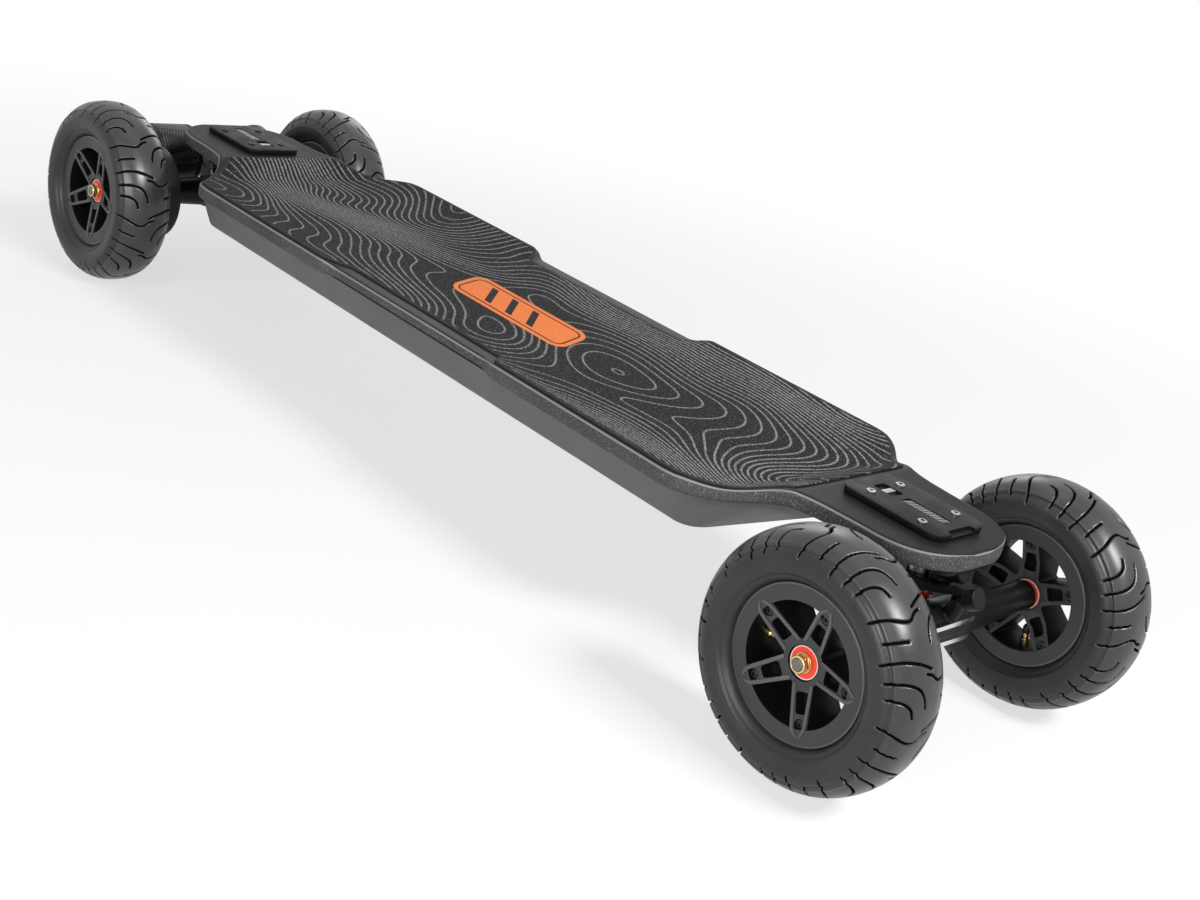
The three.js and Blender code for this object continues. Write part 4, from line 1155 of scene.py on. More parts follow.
# Plates on the necks; a place is the distance of a middle from the inner end
plateValues = {
    "corner": 10.0,
    "edge": 1.1,
    "window": (20.0, 17.0, 12.0, 2.5),     # place, length, width, depth
    "strip": (52.0, 36.0, 9.0, 1.6),
    "notch": (9.0, 26.0, 2.6),             # length, width, depth
    "pocketCorner": 2.0,
    "past": 3.0,                           # a cut's reach past the top
    "wallSlope": 0.6,                      # the normal's rise below which a face is a wall, and takes painted shade
    "pane": (0.4, 1.7, 0.8),               # gap around it, corner, thickness
    "insert": (20.0, 4.5, 13.0, 1.3),      # place, length, width, height
    "insertCorner": 1.2,
    "stripRibs": (14, 0.9, 1.2, 1.2),      # how many, width, lean, height
    "ribMargins": (3.0, 0.6),              # left free in the strip, along it and at each side
    "bolts": ((62.0, 18.5), (17.6, 16.0)),  # from the inner end and from the middle line
    "bolt": (3.2, 2.4, 1.2),               # radius, height, sunk by
}


def makeDeckPlate(end, name):
    v = plateValues
    low, high = boxOf(f"{name}_deck_plate")
    length, width, top = high.x - low.x, high.y - low.y, high.z
    inner = min(abs(low.x), abs(high.x))
    turn = Matrix.Rotation(0 if end > 0 else math.pi, 4, "Z")
    cuts = []
    for spot, cutLength, cutWidth, depth in (v["window"], v["strip"], (length, *v["notch"])):
        pocket = roundedRectangle((inner + spot, 0), cutLength, cutWidth, v["pocketCorner"], 5)
        cuts.append(prism(pocket, top - depth, top + v["past"], "Z"))
    outline = roundedRectangle((inner + length / 2, 0), length, width, v["corner"], 10)
    mesh = carved(name, roundedPlate(outline, low.z, top, v["edge"], "Z"), (), cuts)
    # painted shade: steep faces, the plate's walls, take the near black finish
    for face in mesh.polygons:
        face.material_index = int(abs(face.normal.z) < v["wallSlope"])
    finishPiece(f"{name}DeckPlate", mesh, [finishes["plate plastic"], finishes["painted recess shade"]],
                "deck", [f"{name}_deck_plate"], turn, 30)

    def finishDetail(title, shapes, finish):
        finishPiece(f"{name}Plate{title}", meshOf(title, shapes), finishes[finish], "deck", (), turn)

    spot, cutLength, cutWidth, depth = v["window"]
    gap, corner, thickness = v["pane"]
    floor = top - depth
    pane = roundedRectangle((inner + spot, 0), cutLength - 2 * gap, cutWidth - 2 * gap, corner, 5)
    # a near black pane on the window's floor, as painted shade
    finishDetail("Window", [roundedPlate(pane, floor, floor + thickness, 0.3, "Z")], "painted recess shade")
    spot, insertLength, insertWidth, height = v["insert"]
    insert = roundedRectangle((inner + spot, 0), insertLength, insertWidth, v["insertCorner"], 4)
    floor += thickness
    finishDetail("Insert", [roundedPlate(insert, floor, floor + height, 0.3, "Z")], "steel")
    spot, cutLength, cutWidth, depth = v["strip"]
    count, ribWidth, lean, height = v["stripRibs"]
    endMargin, sideMargin = v["ribMargins"]
    pitch = (cutLength - endMargin) / count
    ribs = []
    for k in range(count):
        start = inner + spot + pitch * (k - (count - 1) / 2) - ribWidth / 2
        rib = [(start + side * lean, side * (cutWidth / 2 - sideMargin)) for side in (-1, 1)]
        rib += [(x + ribWidth, y) for x, y in reversed(rib)]
        ribs.append(prism(rib, top - depth, top - depth + height, "Z"))
    finishDetail("Strip", ribs, "steel")
    radius, height, sunk = v["bolt"]
    bolts = [
        moved(boltShape(radius, height), along((inner + a, side * b, top - sunk), (0, 0, 1)))
        for a, b in v["bolts"] for side in (1, -1)
    ]
    # painted light: the same bolts are bright steel on the front plate, catching the light, and black on the
    # rear one
    finishDetail("Bolts", bolts, "steel" if end > 0 else "screw black")


makeDeckPlate(1, "front")
makeDeckPlate(-1, "rear")
print("deck plates ready")


# Wheels, turned around Y with +Y away from the board
wheelPlaces = {
    f"{end}_{side}": Matrix.Translation(sum(boxOf(f"{end}_{side}_tyre"), Vector()) / 2)
    @ Matrix.Rotation(0 if side == "left" else math.pi, 4, "Z")
    for end in ("front", "rear") for side in ("left", "right")
}

tyreValues = {
    "section": ((47.0, 15.2), (49.6, 16.6), (50.9, 18.6), (51.9, 20.6), (55.6, 23.9), (60.2, 25.9),
                (64.6, 26.49), (69.0, 25.6), (72.4, 23.7), (75.6, 21.1), (78.6, 17.4), (80.8, 12.6),
                (82.1, 6.8), (82.5, 0.0)),
    "inside": ((75.0, 7.5), (70.0, 15.0), (60.0, 19.0), (50.0, 12.0), (47.0, 10.0)),
    "core": (64, 0),               # a spot inside the section, that all its outside faces away from
    "spacing": ((60.0, 0.85), (71.5, 1.6), (90.0, 0.62)),  # between rows of points, up to each radius
    "around": 784,
    "repeats": 7,
    "repeatRadius": 80.0,          # where the length of a repeat is measured
    "grooveDepth": 1.8,
    "grooveWidth": (0.45, 1.0),    # from the middle, where a wall starts and ends
    "grooveStart": 60.0,           # radius below which there are no grooves
    "treadStart": 71.5,
    "treadFade": 2.0,
    "plain": 99.0,                 # distance to a groove where there is none near, mm
    # rings round the side walls: radius, width, depth
    "rings": ((72.4, 0.8, 1.2), (74.0, 0.6, -0.3), (62.6, 0.7, 0.4), (57.2, 0.6, -0.4), (54.4, 0.6, 0.45)),
    # one repeat, as shares of its length and places across the tread from the middle line
    "grooves": (
        ((0.0, 32), (0.03, 23), (0.09, 13), (0.1, 7), (0.05, 2), (0.03, -3)),
        ((0.22, 28), (0.235, 21), (0.25, 13)),
        ((0.4, 33), (0.4, 20), (0.44, 8), (0.5, -2)),
        ((0.57, 31), (0.585, 18), (0.64, 9), (0.73, 5), (0.8, 4)),
        ((0.72, 30), (0.735, 21), (0.79, 15), (0.87, 13)),
    ),
}


def stepLengths(line):
    return np.hypot(*(line[1:] - line[:-1]).T)


def walkedAlong(line, lengths, wanted):
    # the places on a line at the wanted lengths
    return np.stack([np.interp(wanted, lengths, line[:, i]) for i in range(2)], 1)


def splineThrough(points, count, steps=24):
    # an even walk along a smooth curve through the points
    spots = [Vector(points[0])] + [Vector(p) for p in points] + [Vector(points[-1])]
    fine = []
    for i in range(1, len(spots) - 2):
        a, b, c, d = spots[i - 1:i + 3]
        for k in range(steps):
            t = k / steps
            fine.append(0.5 * (2 * b + (c - a) * t + (2 * a - 5 * b + 4 * c - d) * t * t
                               + (3 * b - a - 3 * c + d) * t ** 3))
    fine.append(spots[-1])
    lengths = [0.0]
    for first, second in zip(fine, fine[1:]):
        lengths.append(lengths[-1] + (second - first).length)
    return walkedAlong(np.array(fine), lengths, np.linspace(0, lengths[-1], count))


def grooveDistances(across, around, period):
    # from each place on the tread to the nearest groove's middle, all given in millimetres
    nearest = np.full((len(across), len(around)), tyreValues["plain"])
    gridV, gridS = np.meshgrid(across, around, indexing="ij")
    for side in (1, -1):
        shift = 0 if side > 0 else period / 2
        for groove in tyreValues["grooves"]:
            curve = splineThrough([(s * period, v) for s, v in groove], 16)
            for wrap in (-period, 0, period):
                for (ax, ay), (bx, by) in zip(curve, curve[1:]):
                    ax, ay, bx, by = ax + wrap + shift, ay * side, bx + wrap + shift, by * side
                    length = (bx - ax) ** 2 + (by - ay) ** 2
                    t = np.clip(((gridS - ax) * (bx - ax) + (gridV - ay) * (by - ay)) / length, 0, 1)
                    away = np.hypot(gridS - ax - t * (bx - ax), gridV - ay - t * (by - ay))
                    nearest = np.minimum(nearest, away)
    return nearest


def tyreOutside():
    # half of the outline, with its points closer together where there is more to show, then mirrored
    fine = splineThrough(tyreValues["section"], 900)
    spacing = np.select([fine[:, 0] < radius for radius, step in tyreValues["spacing"]],
                        [step for radius, step in tyreValues["spacing"]])
    rows = np.concatenate([[0], np.cumsum(stepLengths(fine) / spacing[1:])])
    half = walkedAlong(fine, rows, np.linspace(0, rows[-1], round(rows[-1]) + 1))
    return np.concatenate([half, (half[:-1] * (1, -1))[::-1]])


def outwardNormals(outside):
    tangents = np.gradient(outside, axis=0)
    normals = np.stack([tangents[:, 1], -tangents[:, 0]], 1)
    normals /= np.linalg.norm(normals, axis=1)[:, None]
    inward = (normals * (outside - tyreValues["core"])).sum(1) < 0
    return normals * np.where(inward, -1, 1)[:, None]


def makeTyreMesh():
    v = tyreValues
    outside = tyreOutside()
    radii = outside[:, 0]
    across = np.concatenate([[0], np.cumsum(stepLengths(outside))])
    across -= across[-1] / 2
    perRepeat = v["around"] // v["repeats"]
    period = fullTurn * v["repeatRadius"] / v["repeats"]
    distances = grooveDistances(across, np.arange(perRepeat) * period / perRepeat, period)
    distances[radii < v["grooveStart"]] = v["plain"]
    start, end = v["grooveWidth"]
    t = np.clip((distances - start) / (end - start), 0, 1)
    depths = v["grooveDepth"] * (1 - t * t * (3 - 2 * t))
    for radius, width, depth in v["rings"]:
        depths += depth * np.exp(-((radii - radius) / width) ** 2)[:, None]
    normals = outwardNormals(outside)
    inner = [*[(r, -y) for r, y in reversed(v["inside"])], *v["inside"]]
    ringCount = len(outside) + len(inner)
    points, faces = [], []
    for k in range(v["around"]):
        angle = fullTurn * k / v["around"]
        section = (outside - normals * depths[:, k % perRepeat][:, None]).tolist() + inner
        points += [Vector((r * math.cos(angle), y, r * math.sin(angle))) for r, y in section]
        near, far = k * ringCount, (k + 1) % v["around"] * ringCount
        for i in range(ringCount):
            j = (i + 1) % ringCount
            faces.append((near + i, near + j, far + j, far + i))
    mesh = meshOf("tyre", [(points, faces)])
    away = np.full((v["around"], ringCount), v["plain"])
    for k in range(v["around"]):
        away[k, :len(outside)] = distances[:, k % perRepeat]
    tread = np.zeros_like(away)
    tread[:, :len(outside)] = np.clip((radii - v["treadStart"]) / v["treadFade"], 0, 1)
    for name, values in (("grooveDistance", away), ("treadShare", tread)):
        mesh.attributes.new(name, "FLOAT", "POINT").data.foreach_set("value", values.ravel())
    return mesh


rimValues = {
    "lipRadius": 50.0,
    "lipHalf": 18.7,
    "lipThickness": 2.2,
    "lipEdge": (1.2, 0.2),   # the lip's chamfer, in radius and in width
    "flange": 1.0,
    "seatRadius": 46.5,
    "opening": 39.0,
    "dish": ((11.3, 12.0), (15.0, 12.0), (39.0, 17.4)),  # radius and half thickness, on the outer side
    "dishOverlap": 2.0,      # of the spider into the barrel
    "innerFlat": 25.0,       # radius up to which the inner side is flat
    "hub": 15.0,
    "rootWidth": 15.5,
    "tipWidth": 12.5,
    "windowCorner": 2.2,
    # radius, distance from the spoke's middle, half width, low and high side of a rib
    "rib": ((12.6, 6.6, 1.2, 9.0, 12.5), (33.0, 5.2, 1.15, 11.0, 17.3), (38.0, 4.7, 1.1, 12.0, 18.6),
            (40.6, 3.6, 1.1, 17.0, 19.2), (42.6, 2.2, 1.1, 17.0, 19.1), (44.0, 0.9, 0.8, 17.0, 18.8)),
    "pocket": (17.4, 30.6, 4.9, 3.7, 2.2),  # from, to, half widths, corner
    "pocketFloor": 6.0,
    "boltRing": 36.7,
    "boltHole": (3.6, 14.4),  # radius, floor
    "bolt": (2.9, 1.9),       # radius, height
    "spokes": 5,
    "past": 25.0,             # reach of the cuts to each side, past all of the rim
    "spiderEdge": (0.45, 32),  # width of the bevel, and degrees from which an edge gets one
    # faces with the painted shade finish for the dark inside, or the painted highlight finish for the bright
    # edges
    "barrelShade": (0.3, 2.0),  # painted shade up to this past the opening, and this below the lip's side
    "barrelHighlight": (1.5, 0.5),  # painted highlight this far down from the lip's edge and from its side
    "shadeBelow": -0.9,           # height over the dish below which a recessed face takes painted shade
    # height over the dish above which a face, a rib's top, takes a painted highlight
    "highlightAbove": 0.2,
}
spokeDegrees = {"front_left": 243, "front_right": 321, "rear_left": 60, "rear_right": 186}


def spokeWindow(middle):
    v = rimValues

    def reach(radius, width):
        return math.pi / v["spokes"] - math.asin(width / 2 / radius)

    outer, inner = reach(v["opening"], v["tipWidth"]), reach(v["hub"], v["rootWidth"])
    corners = arc((0, 0), v["opening"], middle - outer, middle + outer, 16)
    corners += arc((0, 0), v["hub"], middle + inner, middle - inner, 2)
    return filleted(corners, v["windowCorner"], True, 4)


def spokePocket(direction):
    start, end, root, tip, corner = rimValues["pocket"]
    turn = Matrix.Rotation(direction, 2)
    corners = [turn @ Vector(p) for p in ((start, -root), (end, -tip), (end, tip), (start, root))]
    return filleted(corners, corner, True, 4)


def ribShape(direction, beside):
    turn = Matrix.Rotation(-direction, 4, "Y")
    rings = [
        [Vector((r, y, beside * (offset + across * half)))
         for y, across in ((low, -1), (low, 1), (high, 1), (high, -1))]
        for r, offset, half, low, high in rimValues["rib"]
    ]
    return moved(lofted(rings), turn)


def barrelMesh():
    v = rimValues
    seatHalf = v["lipHalf"] - v["lipThickness"] - v["flange"]
    edgeRadius, edgeHalf = v["lipEdge"]
    half = [(v["seatRadius"], seatHalf), (v["lipRadius"], seatHalf + v["flange"]),
            (v["lipRadius"], v["lipHalf"] - edgeHalf), (v["lipRadius"] - edgeRadius, v["lipHalf"]),
            (v["opening"], v["lipHalf"])]
    profile = filleted([*half, *[(r, -y) for r, y in reversed(half)]], 0.6, True)
    mesh = meshOf("barrel", [turned(profile, 192, True)])
    (shadeRadius, shadeHalf), (highlightRadius, highlightHalf) = v["barrelShade"], v["barrelHighlight"]
    # painted shade inside the barrel, and a painted highlight along the lip's outer edge
    for face in mesh.polygons:
        middle = face.center / mm
        radius, height = math.hypot(middle.x, middle.z), abs(middle.y)
        if radius < v["opening"] + shadeRadius and height < v["lipHalf"] - shadeHalf:
            face.material_index = 1
        elif radius > v["lipRadius"] - highlightRadius and height > v["lipHalf"] - highlightHalf:
            face.material_index = 2
    return mesh


def spiderMesh(directions):
    # the hub and the spokes, with a pocket on each side of a spoke and a bolt's hole in it
    v = rimValues
    past, floor = v["past"], v["pocketFloor"]
    (bore, hubHalf), (start, startHalf), (edge, edgeHalf) = v["dish"]
    overlap = (edge + v["dishOverlap"], edgeHalf)
    inner = [(overlap[0], -edgeHalf), (edge, -edgeHalf), (v["innerFlat"], -hubHalf), (bore, -hubHalf)]
    cuts = [prism(spokeWindow(direction + math.pi / v["spokes"]), -past, past) for direction in directions]
    radius, low = v["boltHole"]
    for direction in directions:
        pocket = spokePocket(direction)
        cuts += [prism(pocket, floor, past), prism(pocket, -past, -floor)]
        x, z = v["boltRing"] * math.cos(direction), v["boltRing"] * math.sin(direction)
        cuts += [bar(radius, (x, side * low, z), (x, side * past, z), 40, 0.1) for side in (1, -1)]
    cuts.append(bar(bore, (0, -past, 0), (0, past, 0), 96, 0.1))
    ribs = [ribShape(direction, beside) for direction in directions for beside in (1, -1)]
    mesh = carved("spider", turned([*v["dish"], overlap, *inner], 160, True), ribs, cuts)
    mesh = bevelled(mesh, *v["spiderEdge"])
    slope = (edgeHalf - startHalf) / (edge - start)
    # painted shade on recessed faces below the dish, and a painted highlight on the faces above it
    for face in mesh.polygons:
        middle = face.center / mm
        height = abs(middle.y)
        above = height - startHalf - slope * max(0, math.hypot(middle.x, middle.z) - v["hub"])
        recessed = middle.y > 0 or abs(face.normal.y) < 0.5 or height < floor + 0.5
        if above < v["shadeBelow"] and recessed:
            face.material_index = 1
        elif above > v["highlightAbove"]:
            face.material_index = 2
    return mesh


def makeRimMeshes():
    # one spoke points along the wheel's own X and the valve lies in the window after it
    v = rimValues
    step = fullTurn / v["spokes"]
    directions = [k * step for k in range(v["spokes"])]
    radius, height = v["bolt"]
    bolts = []
    for direction in directions:
        x, z = v["boltRing"] * math.cos(direction), v["boltRing"] * math.sin(direction)
        for side in (1, -1):
            seat = along((x, side * v["boltHole"][1], z), (0, side, 0))
            bolts.append(moved(boltShape(radius, height), seat))
    return barrelMesh(), spiderMesh(directions), meshOf("rim bolts", bolts)


# the bearings' shown sides, ring by ring: radii, end and finish
bearingRings = (
    (10.5, 11.0, 11.0, "rim black"),
    (9.8, 10.5, 11.0, "pale ring"),
    (4.35, 9.8, 10.8, "red seal"),
)
bearingStart = 4


def bearingMesh(inner, outer, end):
    shapes = []
    for side in (1, -1):
        low, high = bearingStart * side, end * side
        profile = filleted([(inner, low), (outer, low), (outer, high), (inner, high)], 0.2, True)
        shapes.append(turned(profile, 72, True))
    return meshOf("bearings", shapes)


def hexagon(radius):
    sixth = math.pi / 3
    return [Vector((radius * math.cos(sixth * k), radius * math.sin(sixth * k))) for k in range(6)]


nutValues = {
    "flats": 10.8,
    "washer": (4.3, 6.5, 1),         # radii, thickness
    "crown": (4.2, 5.7, 5.2, 2.4, 0.5),  # bore, radius, top radius, height, bevel
    "bodyEnd": 2.2,                  # below the crown's top
    "bevel": (0.5, 40),
}


def makeNutMesh(start, end):
    # washer, hexagonal body with bevelled edges and a round crown
    v = nutValues
    bore, outer, thickness = v["washer"]
    seat = start + thickness
    washer = filleted([(bore, start), (outer, start), (outer, seat), (bore, seat)], 0.25, True)
    bore, outer, top, height, bevel = v["crown"]
    low, rounding = end - height, end - bevel
    crown = filleted([(bore, low), (outer, low), (outer, rounding), (top, end), (bore, end)], 0.3, True)
    outline = hexagon(v["flats"] / 2 / math.cos(math.pi / 6))
    body = bevelled(meshOf("nut", [prism(outline, seat, end - v["bodyEnd"])]), *v["bevel"])
    work = bmesh.new()
    work.from_mesh(body)
    work.from_mesh(meshOf("washer and crown", [turned(washer, 72, True), turned(crown, 64, True)]))
    work.to_mesh(body)
    work.free()
    return body


# profiles: radius and place across the wheel, or along the valve from its root
tubeValues = {
    "section": ((47.2, 0), (47.4, 9), (56, 17.5), (66, 18), (72, 9), (73.5, 0)),
    "stem": ((0, 0), (3.2, 0), (3.2, 8), (2.4, 9), (2.4, 12), (0, 12)),
    "cap": ((0, 11.6), (2.9, 11.6), (2.9, 16), (1.9, 18), (0, 18)),
    "valveRadius": 43,
}


def innerTubeMesh():
    half = splineThrough(tubeValues["section"], 30)
    profile = [tuple(p) for p in half] + [(r, -y) for r, y in half[-2:0:-1]]
    return meshOf("inner tube", [turned(profile, 120, True)])


def makeWheels():
    v = tubeValues
    tyre, tube = makeTyreMesh(), innerTubeMesh()
    barrel, spider, bolts = makeRimMeshes()
    # the rim's paint, then its painted shade and its painted highlight
    rimFinishes = [finishes[finish] for finish in ("rim black", "rim painted shade", "rim painted highlight")]
    stem, cap = filleted(v["stem"], 0.3), filleted(v["cap"], 0.6)
    half = math.pi / rimValues["spokes"]
    out = Vector((math.cos(half), 0, math.sin(half)))
    for name, place in wheelPlaces.items():
        here = inMetres(place)
        body = f"{name}_wheel"
        title = name.replace("_r", "R").replace("_l", "L")
        spokes = here @ Matrix.Rotation(-math.radians(spokeDegrees[name]), 4, "Y")
        finishPiece(f"{title}Tyre", tyre.copy(), finishes["tyre"], body, [f"{name}_tyre"], here, 80)
        finishPiece(f"{title}RimBarrel", barrel.copy(), rimFinishes, body, [f"{name}_rim"], spokes)
        finishPiece(f"{title}RimSpokes", spider.copy(), rimFinishes, body, (), spokes)
        finishPiece(f"{title}RimBolts", bolts.copy(), finishes["screw black"], body, (), spokes)
        for inner, outer, end, finish in bearingRings:
            piece = f"{title}Bearing{finish.title().replace(' ', '')}"
            finishPiece(piece, bearingMesh(inner, outer, end), finishes[finish], body,
                        [f"{name}_wheel_bearings"] if finish == "red seal" else (), here)
        finishPiece(f"{title}InnerTube", tube.copy(), finishes["tube rubber"], body,
                    [f"{name}_inner_tube"], here)
        for piece, profile, finish in (("Valve", stem, "brass"), ("ValveCap", cap, "screw black")):
            shape = moved(turned(profile, 32), along(out * v["valveRadius"], -out))
            finishPiece(title + piece, meshOf("valve", [shape]), finishes[finish], body,
                        (), spokes)
        start, end = sorted(abs(corner.y - place.translation.y) for corner in boxOf(f"{name}_axle_nut"))
        finishPiece(f"{title}AxleNut", makeNutMesh(start, end), finishes["gold steel"],
                    f"{name.split('_')[0]}_hanger", [f"{name}_axle_nut"], here, 30)


makeWheels()
print("wheels ready")


# Trucks: u outwards, w up, from the axle; the rear truck is the front one turned round
truckPlaces = {
    end: Matrix.Translation(sum(boxOf(f"{end}_axle"), Vector()) / 2)
    @ Matrix.Rotation(0 if end == "front" else math.pi, 4, "Z")
    for end in ("front", "rear")
}

truckValues = {
    "upperRing": (-53.0, 19.006),
    "upperPivot": (1.6, 39.106),
    "upperTilt": 20.0,
    "lowerRing": (-20.1, 3.2),
    "lowerPivot": (18.0, 26.5),
    "lowerTilt": 5.0,
    "ringRadius": 15.0,
    "ringHalf": 4.0,
    "ringHole": 6.4,
    "bushingRadius": 10.5,
    "bushingSpan": (4.3, 16.3),
    "bushingWaist": (1, 0.25, 0.7),  # taper at the ends and at the quarters, roundness of its edges
    "bushingRoom": 1.5,
    "pinRadius": 5.0,
    "pinEnds": (0.5, 0.6),           # ends inside its nut and inside its head
    "headRadius": 8.0,
    "headHeight": 5.0,
    "nutHeight": 7.0,
    "washerRadius": 10.5,
    "washerThickness": 1.5,
    "pivotRadius": 4.5,
    "pivotLength": 12.0,
    "cupRadius": 7.5,
    "cupWall": 3.0,
    "cupRoom": 0.75,
    "armHalfWidth": 13.0,
    "armRise": 8.0,
    "armBack": (-16, -1),            # the arm's rear lower corner, from the lower pivot
    "hornRadius": 6.0,
    "bossRadius": 12.0,
    "plate": (-72.0, 14.0, 60.0, 10.0),  # from, to, width, corner
    "plateHeights": (44.706, 49.206),
    "tube": (10.5, 13.5, 26.0, 92.0, 107.7, 110.7, 6.5),  # radii at end and middle, places, nose radius
    "axleHole": (4.3, 120),          # radius, reach to each side
    "axleRadius": 4,
    "block": 22.0,
    "ribs": (15.0, 4.0, 13.0),       # reach, thickness, spacing
    "machined": (0.4, 1.6, 0.6, 0.3),  # inset from a rib's end, width, margin, edge
    "gap": 0.3,
    "past": 3.0,                     # a cut's reach past what it cuts
}


def pinOf(ring, pivot, degrees):
    tilt = math.radians(degrees)
    ring, pivot = Vector((ring[0], 0, ring[1])), Vector((pivot[0], 0, pivot[1]))
    return {"ring": ring, "pivot": pivot, "up": Vector((-math.sin(tilt), 0, math.cos(tilt))),
            "axis": (pivot - ring).normalized()}


upperPin = pinOf(truckValues["upperRing"], truckValues["upperPivot"], truckValues["upperTilt"])
lowerPin = pinOf(truckValues["lowerRing"], truckValues["lowerPivot"], truckValues["lowerTilt"])


def alongPin(pin, radius, start, end, steps=56):
    return bar(radius, pin["ring"] + pin["up"] * start, pin["ring"] + pin["up"] * end, steps)


def onPivot(pin, radius, start, end):
    return bar(radius, pin["pivot"] + pin["axis"] * start, pin["pivot"] + pin["axis"] * end)


def besidePin(pin, up, across):
    spot = pin["ring"] + pin["up"] * up
    return Vector((spot.x + pin["up"].z * across, spot.z - pin["up"].x * across))


def headStarts():
    # along the upper pin: the baseplate's top and the start of the head sunk into it
    v = truckValues
    toTop = (v["plateHeights"][1] - v["upperRing"][1]) / upperPin["up"].z
    return toTop, toTop - v["headHeight"] - v["headRadius"] / 2


def baseplateMesh():
    v = truckValues
    gap, past, room, cupDepth = v["gap"], v["past"], v["cupRoom"], v["pivotLength"] / 2
    start, end, width, corner = v["plate"]
    low, high = v["plateHeights"]
    toTop, upperHead = headStarts()
    plan = roundedRectangle(((start + end) / 2, 0), end - start, width, corner, 8)
    above = roundedRectangle(((start + end) / 2, 0), 2 * (end - start), 2 * width, corner, 8)
    joined = [
        alongPin(upperPin, v["bossRadius"], v["bushingSpan"][1] + gap, toTop + 4),
        onPivot(upperPin, v["cupRadius"], -gap, cupDepth + v["cupWall"]),
    ]
    removed = [
        prism(above, high, high + 20, "Z"),
        onPivot(upperPin, v["pivotRadius"] + room, -past, cupDepth + room),
        alongPin(upperPin, v["pinRadius"] + gap, 0, toTop + 8),
        alongPin(upperPin, v["headRadius"] + gap, upperHead - gap, toTop + 8),
    ]
    return castMesh(carved("baseplate", roundedPlate(plan, low, high, 1.0, "Z"), joined, removed))


def swingArmMesh():
    v = truckValues
    gap, room, half = v["gap"], v["cupRoom"], v["pivotLength"] / 2
    seat = v["bushingSpan"][1] + gap
    top = seat + v["armRise"]
    radius = v["bushingRadius"]
    edge = radius + v["bushingRoom"]
    pivot, axis = lowerPin["pivot"], lowerPin["axis"]

    def overPivot(reach, across):
        spot = pivot + axis * reach
        return Vector((spot.x - axis.z * across, spot.z + axis.x * across))

    back, down = v["armBack"]
    beam = [
        besidePin(upperPin, -v["ringHalf"], edge),
        besidePin(lowerPin, seat, -radius),
        besidePin(lowerPin, seat, radius),
        Vector((pivot.x + back, pivot.z + down)),
        overPivot(-gap, v["pivotRadius"] + 2 * gap),
        overPivot(half, v["pivotRadius"] + 2 * gap),
        overPivot(0, v["cupRadius"]),
        besidePin(lowerPin, top, radius),
        besidePin(lowerPin, top, -radius),
        besidePin(upperPin, v["ringHalf"], edge),
    ]
    beside = besidePin(lowerPin, seat + v["armRise"] / 2, v["headRadius"] + v["hornRadius"])
    hornTip = upperPin["pivot"] - upperPin["axis"] * v["pivotLength"] / 2
    joined = [
        alongPin(upperPin, v["ringRadius"], -v["ringHalf"], v["ringHalf"], 72),
        bar(v["hornRadius"], (beside.x, 0, beside.y), hornTip),
        onPivot(upperPin, v["pivotRadius"], -half, half),
        onPivot(lowerPin, v["cupRadius"], -gap, half + v["cupWall"]),
    ]
    removed = [
        alongPin(upperPin, v["ringHole"], -2 * v["ringHalf"], 2 * v["ringHalf"]),
        onPivot(lowerPin, v["pivotRadius"] + room, -v["past"], half + room),
        alongPin(lowerPin, v["pinRadius"] + gap, 0, top + v["past"]),
    ]
    return castMesh(carved("swing arm", prism(beam, -v["armHalfWidth"], v["armHalfWidth"]), joined, removed))


def hangerMesh():
    v = truckValues
    endRadius, middle, start, taperEnd, noseStart, end, nose = v["tube"]
    half = [(0, end), (nose, end), (nose, noseStart), (endRadius, noseStart), (endRadius, taperEnd),
            (middle, start)]
    tube = turned([*[(r, -y) for r, y in half], *reversed(half)], 72)
    block, ringHalf, pivotHalf = v["block"], v["ringHalf"], v["pivotLength"] / 2
    reach, thickness, spacing = v["ribs"]
    ribs = []
    for w in (spacing / 2, -spacing / 2):
        low, high = w - thickness / 2, w + thickness / 2
        ribs.append(prism([(0, low), (reach, low), (reach, high), (0, high)], -block, block))
    hornTip = lowerPin["pivot"] - lowerPin["axis"] * v["pivotLength"] / 2
    joined = [
        alongPin(lowerPin, v["ringRadius"], -ringHalf, ringHalf, 72),
        bar(v["ringRadius"], (0, -block, 0), (0, block, 0), 72, 1.5),
        *ribs,
        bar(v["hornRadius"], (middle / 2, 0, 0), hornTip),
        onPivot(lowerPin, v["pivotRadius"], -pivotHalf, pivotHalf),
    ]
    room = v["bushingRadius"] + v["bushingRoom"]
    pocketEnd = v["bushingSpan"][1] + v["ringRadius"]
    holeRadius, holeReach = v["axleHole"]
    removed = [
        bar(holeRadius, (0, -holeReach, 0), (0, holeReach, 0)),
        alongPin(lowerPin, v["ringHole"], -2 * ringHalf, 2 * ringHalf),
        alongPin(lowerPin, room, ringHalf, pocketEnd),
        alongPin(lowerPin, room, -pocketEnd, -ringHalf),
    ]
    return castMesh(carved("hanger", tube, joined, removed))


def kingpinMesh(pin, head):
    v = truckValues
    radius, wide = v["pinRadius"], v["washerRadius"]
    washerTop = -v["bushingSpan"][1] - v["gap"]
    nutTop = washerTop - v["washerThickness"]
    bottom = nutTop - v["nutHeight"]
    low, high = bottom + v["pinEnds"][0], head + v["pinEnds"][1]
    body = filleted([(0, low), (radius, low), (radius, high), (0, high)], 0.5)
    washer = filleted([(radius, nutTop), (wide, nutTop), (wide, washerTop), (radius, washerTop)], 0.3, True)
    shapes = [
        turned(body, 40),
        moved(boltShape(v["headRadius"], v["headHeight"]), along((0, head, 0), (0, 1, 0))),
        turned(washer, 64, True),
        roundedPlate(filleted(hexagon(v["headRadius"]), 0.5, True, 2), bottom, nutTop, 0.7),
    ]
    return meshOf("kingpin", [moved(shape, along(pin["ring"], pin["up"])) for shape in shapes])


